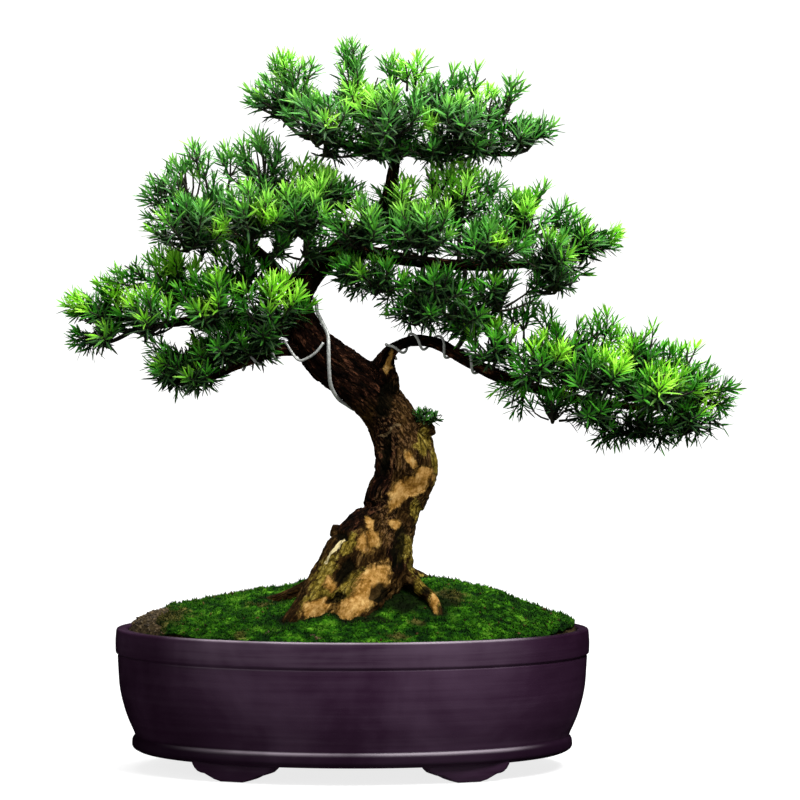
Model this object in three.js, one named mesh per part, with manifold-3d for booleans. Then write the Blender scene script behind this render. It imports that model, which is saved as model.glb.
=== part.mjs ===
// A Buddhist pine bonsai in an oval clay pot, in millimetres, +Z up, the front facing -Y.
// The tree is one grown piece of wood. Its leafy sprays, the moss, the soil, the drain screens and the
// training wires are pieces of their own. Each spray is a forked twig with blades set round it.
import * as THREE from "three";
import { mergeVertices } from "three/addons/utils/BufferGeometryUtils.js";
import Module from "manifold-3d";

const wasm = await Module();
wasm.setup();

// Driving dimensions of the pot
const potHalfWidth = 250;
const potHalfDepth = 180;
const rimHeight = 147;
const footHeight = 18;
const floorTop = 31;
const potSegments = 36;
const depthShare = potHalfDepth / potHalfWidth;
const drainRadius = 13;
const drainOffset = 95;
const drainSides = 16;
const clearance = 0.3;

// Driving dimensions of the foliage
const bladeLength = 25;
const tuftBlade = 14;
const tuftLean = 0.75;
const bladeLean = 0.95;
const twigRadius = 2;
const stemRadius = 2.3;
const stemFoot = 1.6;
const stemGap = 0.45;
const hubRadius = 2.6;
const hubHeight = 6;
const leafyLength = 30;
const leafSteps = 3;
// A shoot's tip stays this far inside its cushion, so that its blades end at the cushion's surface.
const tipSetback = 16;
// A stem starts this much nearer the trunk than its hub.
const stemTrail = 16;
// A cushion taller than this has one more shoot, which leaves from its crown.
const tallCushion = 33;
const hubDrop = 0.6;
const hubInset = 0.86;

// The room that a twig or a blade keeps to other pieces
const twigRoom = 0.6;
const bladeRoom = 0.35;

// A blade's inner and outer half for those tests: from and to along it, and the radius there
const bladeShares = [
  [0.25, 0.55, 2.6],
  [0.55, 1, 1.5],
];

// How a twig or a blade is turned at each new try for a clear place, in radians, and how often
const twigTurn = 0.11;
const twigTries = 12;
const bladeTurn = 0.13;
const bladeTries = 10;
const bladeShortening = 0.03;

// How steeply a cushion's side shoots and its crown shoot rise, in radians
const sideRise = 0.1;
const sideRiseSpread = 0.4;
const crownRise = 1.35;
const tipLean = 0.1;

// How far a blade's direction and a stem's end are bent upwards, as shares of their length
const bladeLift = 0.1;
const stemLift = 0.8;

// How much thinner a twig gets at each step
const twigTaper = 0.09;

// How far along itself a twig is pulled straight out of its spray
const twigPull = 0.42;

const colours = {
  clay: { color: 0x3a2731, roughness: 0.42, metalness: 0 },
  soil: { color: 0x4a3323, roughness: 0.95, metalness: 0 },
  moss: { color: 0x2f6a1c, roughness: 0.95, metalness: 0 },
  bark: { color: 0x6d4c2c, roughness: 0.85, metalness: 0 },
  leaf: { color: 0x2f7d1e, roughness: 0.45, metalness: 0 },
  wire: { color: 0x9ba097, roughness: 0.45, metalness: 0.8 },
  screen: { color: 0x1c1c1c, roughness: 0.6, metalness: 0 },
};

const at = (x, y, z) => new THREE.Vector3(x, y, z);

// A repeatable draw from 0 to 1
function drawFrom(seed) {
  let state = seed;
  return () => {
    state = (state * 16807) % 2147483647;
    return state / 2147483647;
  };
}

// Solids

function solidOf(geometry) {
  const bare = geometry.clone();
  bare.deleteAttribute("normal");
  bare.deleteAttribute("uv");
  const merged = mergeVertices(bare, 1e-4);
  return new wasm.Manifold(
    new wasm.Mesh({
      numProp: 3,
      vertProperties: new Float32Array(merged.attributes.position.array),
      triVerts: new Uint32Array(merged.index.array),
    }),
  );
}

function geometryOf(solid) {
  const mesh = solid.getMesh();
  const geometry = new THREE.BufferGeometry();
  geometry.setAttribute("position", new THREE.BufferAttribute(mesh.vertProperties, 3));
  geometry.setIndex(new THREE.BufferAttribute(mesh.triVerts, 1));
  const flat = geometry.toNonIndexed();
  flat.computeVertexNormals();
  return flat;
}

// The largest of a solid's bodies, without the scraps that a cut can leave
function mainBody(solid) {
  const bodies = solid.decompose();
  return bodies.reduce((best, body) => (body.volume() > best.volume() ? body : best));
}

function joined(solids) {
  return solids.slice(1).reduce((whole, next) => whole.add(next), solids[0]);
}

function closedGeometry(positions, index) {
  const geometry = new THREE.BufferGeometry();
  geometry.setAttribute("position", new THREE.Float32BufferAttribute(positions, 3));
  geometry.setIndex(index);
  return geometry;
}

// Two directions square to each tangent, turned as little as possible from one point to the next
function framesAlong(points) {
  let side = at(1, 0, 0);
  return points.map((_, i) => {
    const before = points[Math.max(0, i - 1)];
    const after = points[Math.min(points.length - 1, i + 1)];
    const tangent = after.clone().sub(before).normalize();
    if (i === 0 && Math.abs(tangent.x) > 0.9) side = at(0, 1, 0);
    side = side.clone().addScaledVector(tangent, -side.dot(tangent)).normalize();
    return { tangent, side, across: tangent.clone().cross(side) };
  });
}

// A closed tube through points, with its own radius at each and an optional swelling by angle
function tube(points, radii, sides, swell = () => 1) {
  const frames = framesAlong(points);
  const positions = [];
  points.forEach((point, i) => {
    for (let k = 0; k < sides; k++) {
      const angle = (2 * Math.PI * k) / sides;
      const r = radii[i] * swell(angle, i);
      const p = point
        .clone()
        .addScaledVector(frames[i].side, r * Math.cos(angle))
        .addScaledVector(frames[i].across, r * Math.sin(angle));
      positions.push(p.x, p.y, p.z);
    }
  });
  const index = [];
  for (let i = 0; i + 1 < points.length; i++) {
    for (let k = 0; k < sides; k++) {
      const a = i * sides + k;
      const b = i * sides + ((k + 1) % sides);
      index.push(a, b, b + sides, a, b + sides, a + sides);
    }
  }
  const last = (points.length - 1) * sides;
  for (let k = 1; k + 1 < sides; k++) {
    index.push(0, k + 1, k, last, last + k, last + k + 1);
  }
  return closedGeometry(positions, index);
}

// Distance between the segments a-b and c-d
function segmentGap(a, b, c, d) {
  const u = b.clone().sub(a);
  const v = d.clone().sub(c);
  const w = a.clone().sub(c);
  const uu = u.dot(u);
  const vv = v.dot(v);
  const uv = u.dot(v);
  const spread = uu * vv - uv * uv;
  const clamp = THREE.MathUtils.clamp;
  let s = spread > 1e-9 ? clamp((uv * v.dot(w) - vv * u.dot(w)) / spread, 0, 1) : 0;
  const t = clamp((uv * s + v.dot(w)) / vv, 0, 1);
  s = clamp((uv * t - u.dot(w)) / uu, 0, 1);
  return a.clone().addScaledVector(u, s).distanceTo(c.clone().addScaledVector(v, t));
}

// Everything that a new twig or blade has to stay clear of, as segments with a radius and an owner
const taken = [];

function take(a, b, radius, owner) {
  taken.push({ a, b, radius, owner, middle: a.clone().lerp(b, 0.5), reach: a.distanceTo(b) / 2 });
}

function isClear(a, b, radius, owner, room) {
  const middle = a.clone().lerp(b, 0.5);
  const reach = a.distanceTo(b) / 2;
  return taken.every((other) => {
    if (other.owner.startsWith(owner)) return true;
    const near = radius + other.radius + room;
    if (middle.distanceTo(other.middle) > reach + other.reach + near) return true;
    return segmentGap(a, b, other.a, other.b) > near;
  });
}

// Pot: a turned wall pressed into an oval, on four cloud feet

const potProfile = [
  [0, footHeight],
  [226, footHeight],
  [232.5, 25],
  [229.5, 34],
  [237.5, 52],
  [246, 80],
  [248.4, 119.5],
  [potHalfWidth, 121],
  [248.6, rimHeight],
  [237, rimHeight],
  [234, 105],
  [222, 56],
  [200, floorTop],
  [0, floorTop],
];

function ovalTurned(profile) {
  const outline = profile.map(([r, z]) => new THREE.Vector2(r, z));
  const lathe = new THREE.LatheGeometry(outline, potSegments);
  lathe.rotateX(Math.PI / 2);
  lathe.scale(1, depthShare, 1);
  return lathe;
}

// Half of a foot's outline, from its middle outwards: a flat sole, a round lobe and a step
const footHalfOutline = [
  [12, 0],
  [20, 2],
  [31, 7],
  [38, 9],
  [43, 14],
  [46, 22],
];
const footDepth = 30;
const footPlace = { x: 121, y: 118, turn: 0.36 };

function footGeometry() {
  const right = footHalfOutline.map(([x, z]) => new THREE.Vector2(x, z));
  const left = footHalfOutline.map(([x, z]) => new THREE.Vector2(-x, z)).reverse();
  const outline = new THREE.Shape([...right, ...left]);
  const foot = new THREE.ExtrudeGeometry(outline, { depth: footDepth, bevelEnabled: false });
  foot.translate(0, 0, -footDepth / 2);
  foot.rotateX(Math.PI / 2);
  return foot;
}

function potSolid() {
  let pot = solidOf(ovalTurned(potProfile));
  for (const x of [-1, 1]) {
    for (const y of [-1, 1]) {
      const foot = footGeometry();
      foot.rotateZ(-x * y * footPlace.turn);
      foot.translate(x * footPlace.x, y * footPlace.y, 0);
      pot = pot.add(solidOf(foot));
    }
    const drain = new THREE.CylinderGeometry(drainRadius, drainRadius, 4 * floorTop, drainSides);
    drain.rotateX(Math.PI / 2);
    drain.translate(x * drainOffset, 0, 0);
    pot = pot.subtract(solidOf(drain));
  }
  return pot;
}

// Drain screen: a flat plastic grid that lies over a drain hole

const screenSize = 40;
const screenThickness = 1.6;
const screenHole = 9;
const screenRoomHeight = 5;
const screenPitch = 14;

function screenSolid(x) {
  const z = floorTop + clearance + screenThickness / 2;
  const plate = new THREE.BoxGeometry(screenSize, screenSize, screenThickness);
  let screen = solidOf(plate.translate(x, 0, z));
  for (const i of [-0.5, 0.5]) {
    for (const j of [-0.5, 0.5]) {
      const hole = new THREE.BoxGeometry(screenHole, screenHole, 3 * screenThickness);
      screen = screen.subtract(solidOf(hole.translate(x + i * screenPitch, j * screenPitch, z)));
    }
  }
  return screen;
}

// Soil and moss: both follow one mound, which is highest behind the trunk

const moundRise = 48;
const moundEdge = 141;
const moundShares = [0.32, 0.66, 1];

function moundHeight(x, y) {
  const out = Math.min(1, Math.hypot(x / 234, y / (234 * depthShare)));
  const rise = moundRise * Math.pow(1 - Math.pow(out, 2.2), 0.9);
  const lean = 1 + (0.4 * (1 - out * out) * x) / potHalfWidth + (0.62 * y) / potHalfDepth;
  const bumps = 1.8 * Math.sin(x / 21 + 1) * Math.cos(y / 17) * (1 - out);
  return moundEdge + rise * lean + bumps;
}

// One ring of the pot's oval, with its height from a formula
function ovalRing(reach, height) {
  const ring = [];
  for (let k = 0; k < potSegments; k++) {
    const angle = (2 * Math.PI * k) / potSegments;
    const x = reach(angle) * Math.cos(angle);
    const y = reach(angle) * depthShare * Math.sin(angle);
    ring.push(at(x, y, height(x, y)));
  }
  return ring;
}

// A closed body from a top middle point, rings in order, and a bottom middle point. Its quads are always
// split the same way, so that two such bodies can lie on each other.
function ringedSolid(top, rings, bottom) {
  const points = [top, ...rings.flat(), bottom];
  const n = rings[0].length;
  const ringStart = (r) => 1 + r * n;
  const index = [];
  for (let k = 0; k < n; k++) {
    const next = (k + 1) % n;
    index.push(0, ringStart(0) + k, ringStart(0) + next);
    for (let r = 0; r + 1 < rings.length; r++) {
      const a = ringStart(r) + k;
      const b = ringStart(r) + next;
      const widens = rings[r + 1][0].x > rings[r][0].x;
      if (widens) index.push(a, a + n, b + n, a, b + n, b);
      else index.push(a, a + n, b, b, a + n, b + n);
    }
    const last = ringStart(rings.length - 1);
    index.push(points.length - 1, last + next, last + k);
  }
  return solidOf(closedGeometry(points.flatMap((p) => [p.x, p.y, p.z]), index));
}

// The moss stops short of the rim, and further from the left end, where the soil is bare.
const mossReach = (angle) => 226 - 34 * Math.pow(Math.max(0, -Math.cos(angle)), 6);
const mossThickness = 5;
const mossEdge = 1.5;
const soilRim = 235.6;
const soilWall = [
  [233.6, 105],
  [221.6, 56],
  [199.6, floorTop + clearance],
];

function mossRings(lift) {
  return moundShares.map((share) => {
    const height = (x, y) => moundHeight(x, y) + lift(share);
    return ovalRing((angle) => share * mossReach(angle), height);
  });
}

function soilSolid() {
  const rings = mossRings(() => 0);
  rings.push(ovalRing(() => soilRim, moundHeight));
  for (const [r, z] of soilWall) rings.push(ovalRing(() => r, () => z));
  return ringedSolid(at(0, 0, moundHeight(0, 0)), rings, at(0, 0, floorTop + clearance));
}

function mossSolid() {
  const upper = mossRings((share) => clearance + (share === 1 ? mossEdge : mossThickness));
  const lower = mossRings(() => clearance);
  const top = moundHeight(0, 0) + clearance;
  return ringedSolid(at(0, 0, top + mossThickness), [...upper, ...lower.reverse()], at(0, 0, top));
}

// Tree: its trunk as points with a radius, from below the soil to the tip

const trunkLine = [
  [2, -22, 118, 46],
  [2, -24, 150, 50],
  [3, -22, 172, 50],
  [8, -18, 190, 47],
  [13, -14, 211, 44.5],
  [22, -10, 237, 41.5],
  [36, -4, 264, 31.5],
  [52, 2, 288, 27],
  [58, 8, 313, 31],
  [53.5, 12, 337, 31.5],
  [45, 12, 359, 30],
  [34, 8, 378, 26],
  [18, 2, 395, 25],
  [-5, -5, 414, 24],
  [-32, -10, 434, 22],
  [-52, -12, 459, 18.5],
  [-58, -10, 488, 15],
  [-46, -6, 514, 12.6],
  [-25, -1, 536, 11.6],
  [0, 4, 556, 10.4],
  [23, 6, 578, 9],
  [37, 6, 601, 7.4],
  [42, 5, 625, 6.6],
  [46, 3, 648, 5.6],
];
const trunkSides = 10;

// Roots that spread from the trunk's foot into the soil
const rootLines = [
  [[16, -30, 236, 22], [-8, -50, 202, 24], [-34, -74, 176, 22], [-56, -92, 156, 16], [-72, -104, 134, 9]],
  [[32, -22, 226, 20], [20, -54, 194, 23], [4, -82, 170, 21], [-6, -100, 150, 13], [-10, -108, 130, 8]],
  [
    [44, -12, 228, 14], [60, -28, 206, 12], [76, -48, 193, 8.5], [90, -70, 182, 6.5], [94, -84, 162, 7],
    [94, -90, 140, 6],
  ],
  [[-8, -14, 216, 20], [-36, -10, 196, 15], [-66, -4, 183, 8.5], [-94, 4, 174, 6], [-116, 8, 160, 4]],
  [[-2, 0, 214, 20], [-22, 30, 194, 15], [-40, 58, 180, 9], [-52, 76, 164, 5]],
  [[30, 4, 220, 20], [52, 30, 200, 15], [78, 52, 188, 9], [98, 66, 168, 5]],
];
const rootSides = 6;

// The short sawn stub on the right of the trunk, and the old knot on its left
const stubLine = [[54, 6, 344, 16], [70, 2, 354, 10.5], [78, 0, 358.5, 8.5]];
const knotLine = [[6, -14, 242, 14], [-12, -16, 247, 8.5], [-21, -17, 250, 6.5]];
const stubStem = { out: at(0.87, 0, 0.49), points: [at(78.6, 0, 358.9), at(83.5, 0, 361.6), at(88, 0, 366.5)] };

// Main branches, each from inside the wood that it grows from to its last point
const branchLines = {
  leader: [[45, 3, 640, 5.4], [50, 2, 664, 4.6], [46, 0, 688, 3.4], [36, 0, 704, 2.6]],
  topLeft: [[46, 3, 646, 5], [14, 6, 652, 4.6], [-16, 2, 657, 4], [-52, -2, 664, 3.2]],
  topRight: [[46, 3, 646, 5], [80, -2, 652, 4.6], [116, 0, 651, 4], [156, 4, 646, 3]],
  upperLeft: [
    [-52, -8, 494, 9], [-78, -2, 520, 7.4], [-108, 4, 548, 6], [-138, 2, 562, 4.4], [-162, -2, 568, 3.2],
  ],
  upperMiddle: [[0, 4, 556, 7], [-22, 8, 572, 5.6], [-52, 6, 582, 4.2], [-76, 2, 588, 3.2]],
  lowerLeft: [
    [-46, -12, 458, 11], [-80, -18, 464, 8.6], [-112, -14, 470, 7], [-150, -8, 472, 5.6],
    [-192, -4, 467, 4.4], [-232, -6, 460, 3.4],
  ],
  lowest: [
    [-30, -10, 438, 9], [-62, -20, 440, 7.2], [-88, -26, 434, 6.4], [-114, -26, 422, 5.4], [-152, -20, 404, 4],
  ],
  middleRight: [
    [-10, 0, 546, 8.6], [26, -4, 540, 7.6], [62, -2, 534, 6.6], [100, 4, 530, 5.8], [144, 4, 528, 5],
    [188, 0, 531, 4], [226, 0, 535, 3.2],
  ],
  right: [
    [28, 4, 390, 13], [34, 0, 411, 9.8], [38, -4, 430, 7.6], [47, -8, 443, 6.2], [66, -10, 449, 6],
    [89, -10, 445, 6.2], [112, -8, 432, 6.6], [140, -4, 417, 6.6], [177, 0, 404, 5.8], [219, 2, 393, 5],
    [266, 0, 383, 4.2], [316, 0, 380, 3.6], [348, 0, 384, 3],
  ],
};
const branchSides = 6;

// Pads of foliage. Each holds the branches that carry it and its cushions, a spray in each: middle x, y
// and z, and half of the cushion's width and height.
const cushionDepth = 46;
const pads = {
  top: {
    homes: ["leader", "topLeft", "topRight"],
    cushions: [
      [-36, -42, 676, 46, 38], [40, -44, 680, 50, 42], [112, -38, 674, 46, 33],
      [-70, 4, 702, 42, 34], [0, 2, 716, 38, 48], [84, 6, 702, 48, 38], [146, 4, 686, 44, 32], [184, 0, 664, 36, 22],
      [26, 48, 678, 60, 40],
    ],
  },
  upper: {
    homes: ["upperLeft", "upperMiddle"],
    cushions: [
      [-172, -44, 566, 46, 38], [-106, -46, 576, 44, 40], [-52, -42, 580, 44, 38],
      [-176, 0, 602, 48, 44], [-94, 2, 622, 46, 42],
      [-146, 46, 578, 46, 38], [-72, 46, 576, 46, 38],
    ],
  },
  left: {
    homes: ["lowerLeft", "lowest"],
    cushions: [
      [-214, -42, 472, 44, 33], [-148, -50, 484, 46, 40], [-82, -48, 484, 46, 40],
      [-254, 2, 480, 50, 30], [-190, 2, 512, 46, 42], [-118, 4, 520, 48, 42],
      [-152, 50, 484, 52, 40], [-184, -16, 422, 38, 28], [-130, -36, 442, 44, 28],
    ],
  },
  middle: {
    homes: ["middleRight"],
    cushions: [
      [10, -46, 566, 46, 33], [76, -54, 560, 48, 38], [146, -50, 548, 46, 33], [208, -36, 538, 42, 30],
      [46, 4, 592, 48, 38], [112, 2, 596, 50, 42], [182, 0, 576, 48, 36], [244, 0, 554, 42, 26],
      [56, 54, 566, 50, 33], [132, 52, 556, 50, 33],
      [24, -36, 514, 42, 26], [86, -42, 502, 46, 28], [154, -36, 498, 50, 28],
      [96, 40, 506, 52, 26],
    ],
  },
  right: {
    homes: ["right"],
    cushions: [
      [196, -36, 428, 42, 30], [262, -38, 412, 46, 33], [322, -40, 398, 44, 32],
      [228, 4, 442, 44, 34], [300, 2, 428, 46, 38], [362, 0, 402, 44, 32],
      [236, 42, 416, 46, 32], [306, 40, 406, 48, 34],
      [210, -10, 378, 46, 24], [304, 2, 362, 54, 22], [150, -22, 446, 42, 28],
    ],
  },
};

const pointsOf = (line) => line.map(([x, y, z]) => at(x, y, z));
const radiiOf = (line) => line.map((point) => point[3]);

function takeLine(line, owner) {
  const points = pointsOf(line);
  for (let i = 0; i + 1 < points.length; i++) take(points[i], points[i + 1], line[i][3], owner);
}

function trunkSwell(angle, i) {
  const foot = Math.max(0, 1 - i / 7);
  const ribs = 0.5 * Math.cos(3 * angle + 0.6) + 0.35 * Math.cos(5 * angle - i * 0.5);
  return 1 + ribs * (0.05 + 0.12 * foot) + 0.03 * Math.sin(2 * angle + i);
}

function treeSolid() {
  const solids = [solidOf(tube(pointsOf(trunkLine), radiiOf(trunkLine), trunkSides, trunkSwell))];
  for (const line of [...rootLines, stubLine, knotLine]) {
    solids.push(solidOf(tube(pointsOf(line), radiiOf(line), rootSides)));
  }
  for (const line of Object.values(branchLines)) {
    solids.push(solidOf(tube(pointsOf(line), radiiOf(line), branchSides)));
  }
  return joined(solids);
}

// Only the foot of the tree, a little larger all round, to cut its hole in the soil and moss
function footHole() {
  const low = trunkLine.slice(0, 8);
  const solids = [
    solidOf(tube(pointsOf(low), radiiOf(low).map((r) => r + 2 * clearance), trunkSides, trunkSwell)),
  ];
  for (const line of rootLines) {
    solids.push(solidOf(tube(pointsOf(line), radiiOf(line).map((r) => r + 2 * clearance), rootSides)));
  }
  const ends = rootLines.map((line) => line[line.length - 1]);
  for (const [x, y, z, r] of [...ends, trunkLine[0]]) {
    const cap = new THREE.CylinderGeometry(0.8 * r, 0.8 * r, 4, 8);
    solids.push(solidOf(cap.rotateX(Math.PI / 2).translate(x, y, z)));
  }
  return joined(solids);
}

// Training wires

const windingSteps = 10;
const windingSwell = 1.02;

function pointOn(line, t) {
  const i = Math.min(line.length - 2, Math.floor(t));
  const a = line[i];
  const b = line[i + 1];
  return a.map((value, k) => value + (b[k] - value) * (t - i));
}

// A wire wound round a branch from one place along it to another, at a gap from its ridges
function woundPoints({ line, from, to, turns, start, radius, gap }) {
  const fine = [];
  const count = Math.ceil(turns * windingSteps);
  for (let i = 0; i <= count; i++) fine.push(pointOn(line, from + ((to - from) * i) / count));
  const centres = pointsOf(fine);
  const frames = framesAlong(centres);
  return centres.map((centre, i) => {
    const angle = start + (2 * Math.PI * turns * i) / count;
    const r = fine[i][3] * windingSwell + radius + gap;
    return centre
      .clone()
      .addScaledVector(frames[i].side, r * Math.cos(angle))
      .addScaledVector(frames[i].across, r * Math.sin(angle));
  });
}

// The thick wire comes round the back of the trunk, hangs loose under the limb, crosses its front and goes up
// behind it. The two thin ones are wound on branches, and the left one starts against the trunk.
const wires = {
  wire_trunk: {
    radius: 2,
    lead: [
      [38, 38, 396], [20, 35, 386], [6, 22, 378], [-2, 8, 375], [-14, -4, 381], [-25, -16, 388],
      [-31, -27, 400], [-31.5, -36.5, 419], [-28.5, -37.5, 440], [-28, -32.5, 456], [-32.5, -26, 469],
      [-37, -18, 480], [-38.5, -4, 489], [-45, 9.5, 496], [-60, 12, 501],
    ],
  },
  wire_left: {
    radius: 1.4,
    lead: [[-34, -36.5, 447], [-40, -36, 437], [-48, -32.5, 430], [-57, -30.5, 428.5]],
    wound: { line: branchLines.lowest, from: 1.3, to: 3.1, turns: 2.6, start: 3.9, gap: 0.9 },
  },
  wire_right: {
    radius: 1.4,
    wound: { line: branchLines.right, from: 2.3, to: 7.3, turns: 4.4, start: 0.5, gap: 0.7 },
  },
};
const wireSides = 5;

function wirePoints({ radius, lead = [], wound }) {
  const points = lead.map((p) => at(...p));
  return wound ? [...points, ...woundPoints({ ...wound, radius })] : points;
}

// Leafy sprays

// A point on a curve from a to c, pulled towards b
function bend(a, b, c, t) {
  return a.clone().multiplyScalar((1 - t) * (1 - t))
    .addScaledVector(b, 2 * t * (1 - t))
    .addScaledVector(c, t * t);
}

// A mesh that grows by drawing out its own faces, so that a whole spray is one closed body

class GrownMesh {
  constructor() {
    this.points = [];
    this.index = [];
  }

  addRing(centre, tangent, towards, radius) {
    const side = towards.clone().addScaledVector(tangent, -towards.dot(tangent)).setLength(radius);
    return [0, 1, 2].map((k) => {
      const corner = side.clone().applyAxisAngle(tangent, (k * 2 * Math.PI) / 3);
      return this.points.push(centre.clone().add(corner)) - 1;
    });
  }

  middleOf(face) {
    return face.reduce((sum, i) => sum.add(this.points[i]), at(0, 0, 0)).divideScalar(face.length);
  }

  // The six triangles between two rings that are turned by a sixth of a circle from each other
  facesBetween(low, high) {
    return [0, 1, 2].flatMap((k) => {
      const next = (k + 1) % 3;
      return [[low[k], low[next], high[k]], [low[next], high[next], high[k]]];
    });
  }

  close(face) {
    this.index.push(...face);
  }

  drawOut(face, tip) {
    const apex = this.points.push(tip) - 1;
    face.forEach((corner, k) => this.index.push(corner, face[(k + 1) % 3], apex));
  }

  solid() {
    return solidOf(closedGeometry(this.points.flatMap((p) => [p.x, p.y, p.z]), this.index));
  }
}

// A blade from a face of its twig, turned or shortened until it is clear, or else left out
function growBlade(mesh, face, along, lean, length, owner) {
  const root = mesh.middleOf(face);
  const [a, b, c] = face.map((i) => mesh.points[i]);
  const out = b.clone().sub(a).cross(c.clone().sub(a));
  out.addScaledVector(along, -out.dot(along)).normalize();
  for (let tries = 0; tries < bladeTries; tries++) {
    const turn = (tries % 2 ? bladeTurn : -bladeTurn) * tries;
    const direction = along.clone().multiplyScalar(Math.cos(lean))
      .addScaledVector(out, Math.sin(lean))
      .applyAxisAngle(along, turn)
      .add(at(0, 0, bladeLift))
      .normalize();
    const reach = length * (1 - bladeShortening * tries);
    const parts = bladeShares.map(([from, to, radius]) => ({
      from: root.clone().addScaledVector(direction, from * reach),
      to: root.clone().addScaledVector(direction, to * reach),
      radius,
    }));
    if (parts.every((part) => isClear(part.from, part.to, part.radius, owner, bladeRoom))) {
      for (const part of parts) take(part.from, part.to, part.radius, `${owner}:blade`);
      mesh.drawOut(face, root.clone().addScaledVector(direction, reach));
      return;
    }
  }
  mesh.close(face);
}

// A twig from a face of its spray, with blades on all its sides past the bare first step
function growShoot(mesh, face, line, owner, draw) {
  let ring = face;
  const twigs = [];
  for (let i = 1; i < line.length; i++) {
    const before = line[i - 1];
    const after = line[Math.min(line.length - 1, i + 1)];
    const tangent = after.clone().sub(before).normalize();
    const edge = mesh.middleOf(ring.slice(0, 2)).sub(before);
    const next = mesh.addRing(line[i], tangent, edge, twigRadius * (1 - twigTaper * i));
    twigs.push({ faces: mesh.facesBetween(ring, next), tangent });
    ring = next;
  }
  twigs.push({ faces: [ring], tangent: twigs[twigs.length - 1].tangent });
  twigs.forEach(({ faces, tangent }, i) => {
    const atTip = i === twigs.length - 1;
    for (const side of faces) {
      const length = bladeLength * (0.85 + 0.25 * draw());
      if (i === 0) mesh.close(side);
      else growBlade(mesh, side, tangent, atTip ? tipLean : bladeLean, length, owner);
    }
  });
}

// The places on a branch's ridges where a spray's stem can start, in steps along it
function stemStarts(line) {
  const centres = pointsOf(line);
  const frames = framesAlong(centres);
  const corner = (i, angle) => centres[i].clone()
    .addScaledVector(frames[i].side, line[i][3] * Math.cos(angle))
    .addScaledVector(frames[i].across, line[i][3] * Math.sin(angle));
  const starts = [];
  for (let i = 1; i + 1 < line.length; i++) {
    for (const share of [0.15, 0.38, 0.62, 0.85]) {
      for (let k = 0; k < branchSides; k++) {
        const angle = (2 * Math.PI * k) / branchSides;
        const ridge = corner(i, angle).lerp(corner(i + 1, angle), share);
        const out = ridge.clone().sub(centres[i].clone().lerp(centres[i + 1], share)).normalize();
        starts.push({ point: ridge.addScaledVector(out, stemGap), out });
      }
    }
  }
  return starts;
}

// A spray's stem: from the start that suits its hub best, straight out of the branch, then to the hub
function stemLine(place) {
  const towards = place.hub.clone().sub(place.root).setLength(stemTrail);
  const aim = place.hub.clone().sub(towards);
  const starts = place.homes.flatMap((home) => stemStarts(branchLines[home]));
  for (const start of starts) {
    const rise = place.hub.clone().sub(start.point);
    start.cost = start.point.distanceTo(aim) * (1.5 - 0.5 * start.out.dot(rise.normalize()));
  }
  starts.sort((a, b) => a.cost - b.cost);
  for (const { point, out } of starts) {
    const length = point.distanceTo(place.hub);
    const elbow = bend(point, point.clone().addScaledVector(out, 0.5 * length), place.hub, 0.5);
    const past = point.clone().lerp(elbow, Math.min(0.8, 5 / point.distanceTo(elbow)));
    const legs = [[past, elbow], [elbow, place.hub]];
    if (length > 12 && legs.every(([from, to]) => isClear(from, to, stemRadius, place.name, twigRoom))) {
      return { out, points: [point, elbow, place.hub] };
    }
  }
  throw new Error(`${place.name} has no clear stem`);
}

// The line of a shoot from a face towards a point of the cushion's surface, if there is a clear one
function shootLine(place, start, outward, bearing, rise) {
  for (let tries = 0; tries < twigTries; tries++) {
    const turn = bearing + (tries % 2 ? twigTurn : -twigTurn) * tries;
    const surface = at(
      place.rx * Math.cos(rise) * Math.cos(turn),
      cushionDepth * Math.cos(rise) * Math.sin(turn),
      place.rz * Math.sin(rise),
    );
    const tip = place.middle.clone().add(surface.setLength(Math.max(10, surface.length() - tipSetback)));
    const length = start.distanceTo(tip);
    const pull = start.clone().addScaledVector(outward, twigPull * length);
    const bare = Math.max(0.2, 1 - leafyLength / length);
    const line = [start];
    for (let i = 0; i <= leafSteps; i++) {
      line.push(bend(start, pull, tip, bare + ((1 - bare) * i) / leafSteps));
    }
    const past = start.clone().lerp(line[1], Math.min(0.9, 6 / start.distanceTo(line[1])));
    const legs = [[past, line[1]], ...line.slice(2).map((point, i) => [line[i + 1], point])];
    const own = `${place.name}:stem`;
    if (legs.every(([from, to]) => isClear(from, to, twigRadius, own, twigRoom))) return line;
  }
  return null;
}

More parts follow.
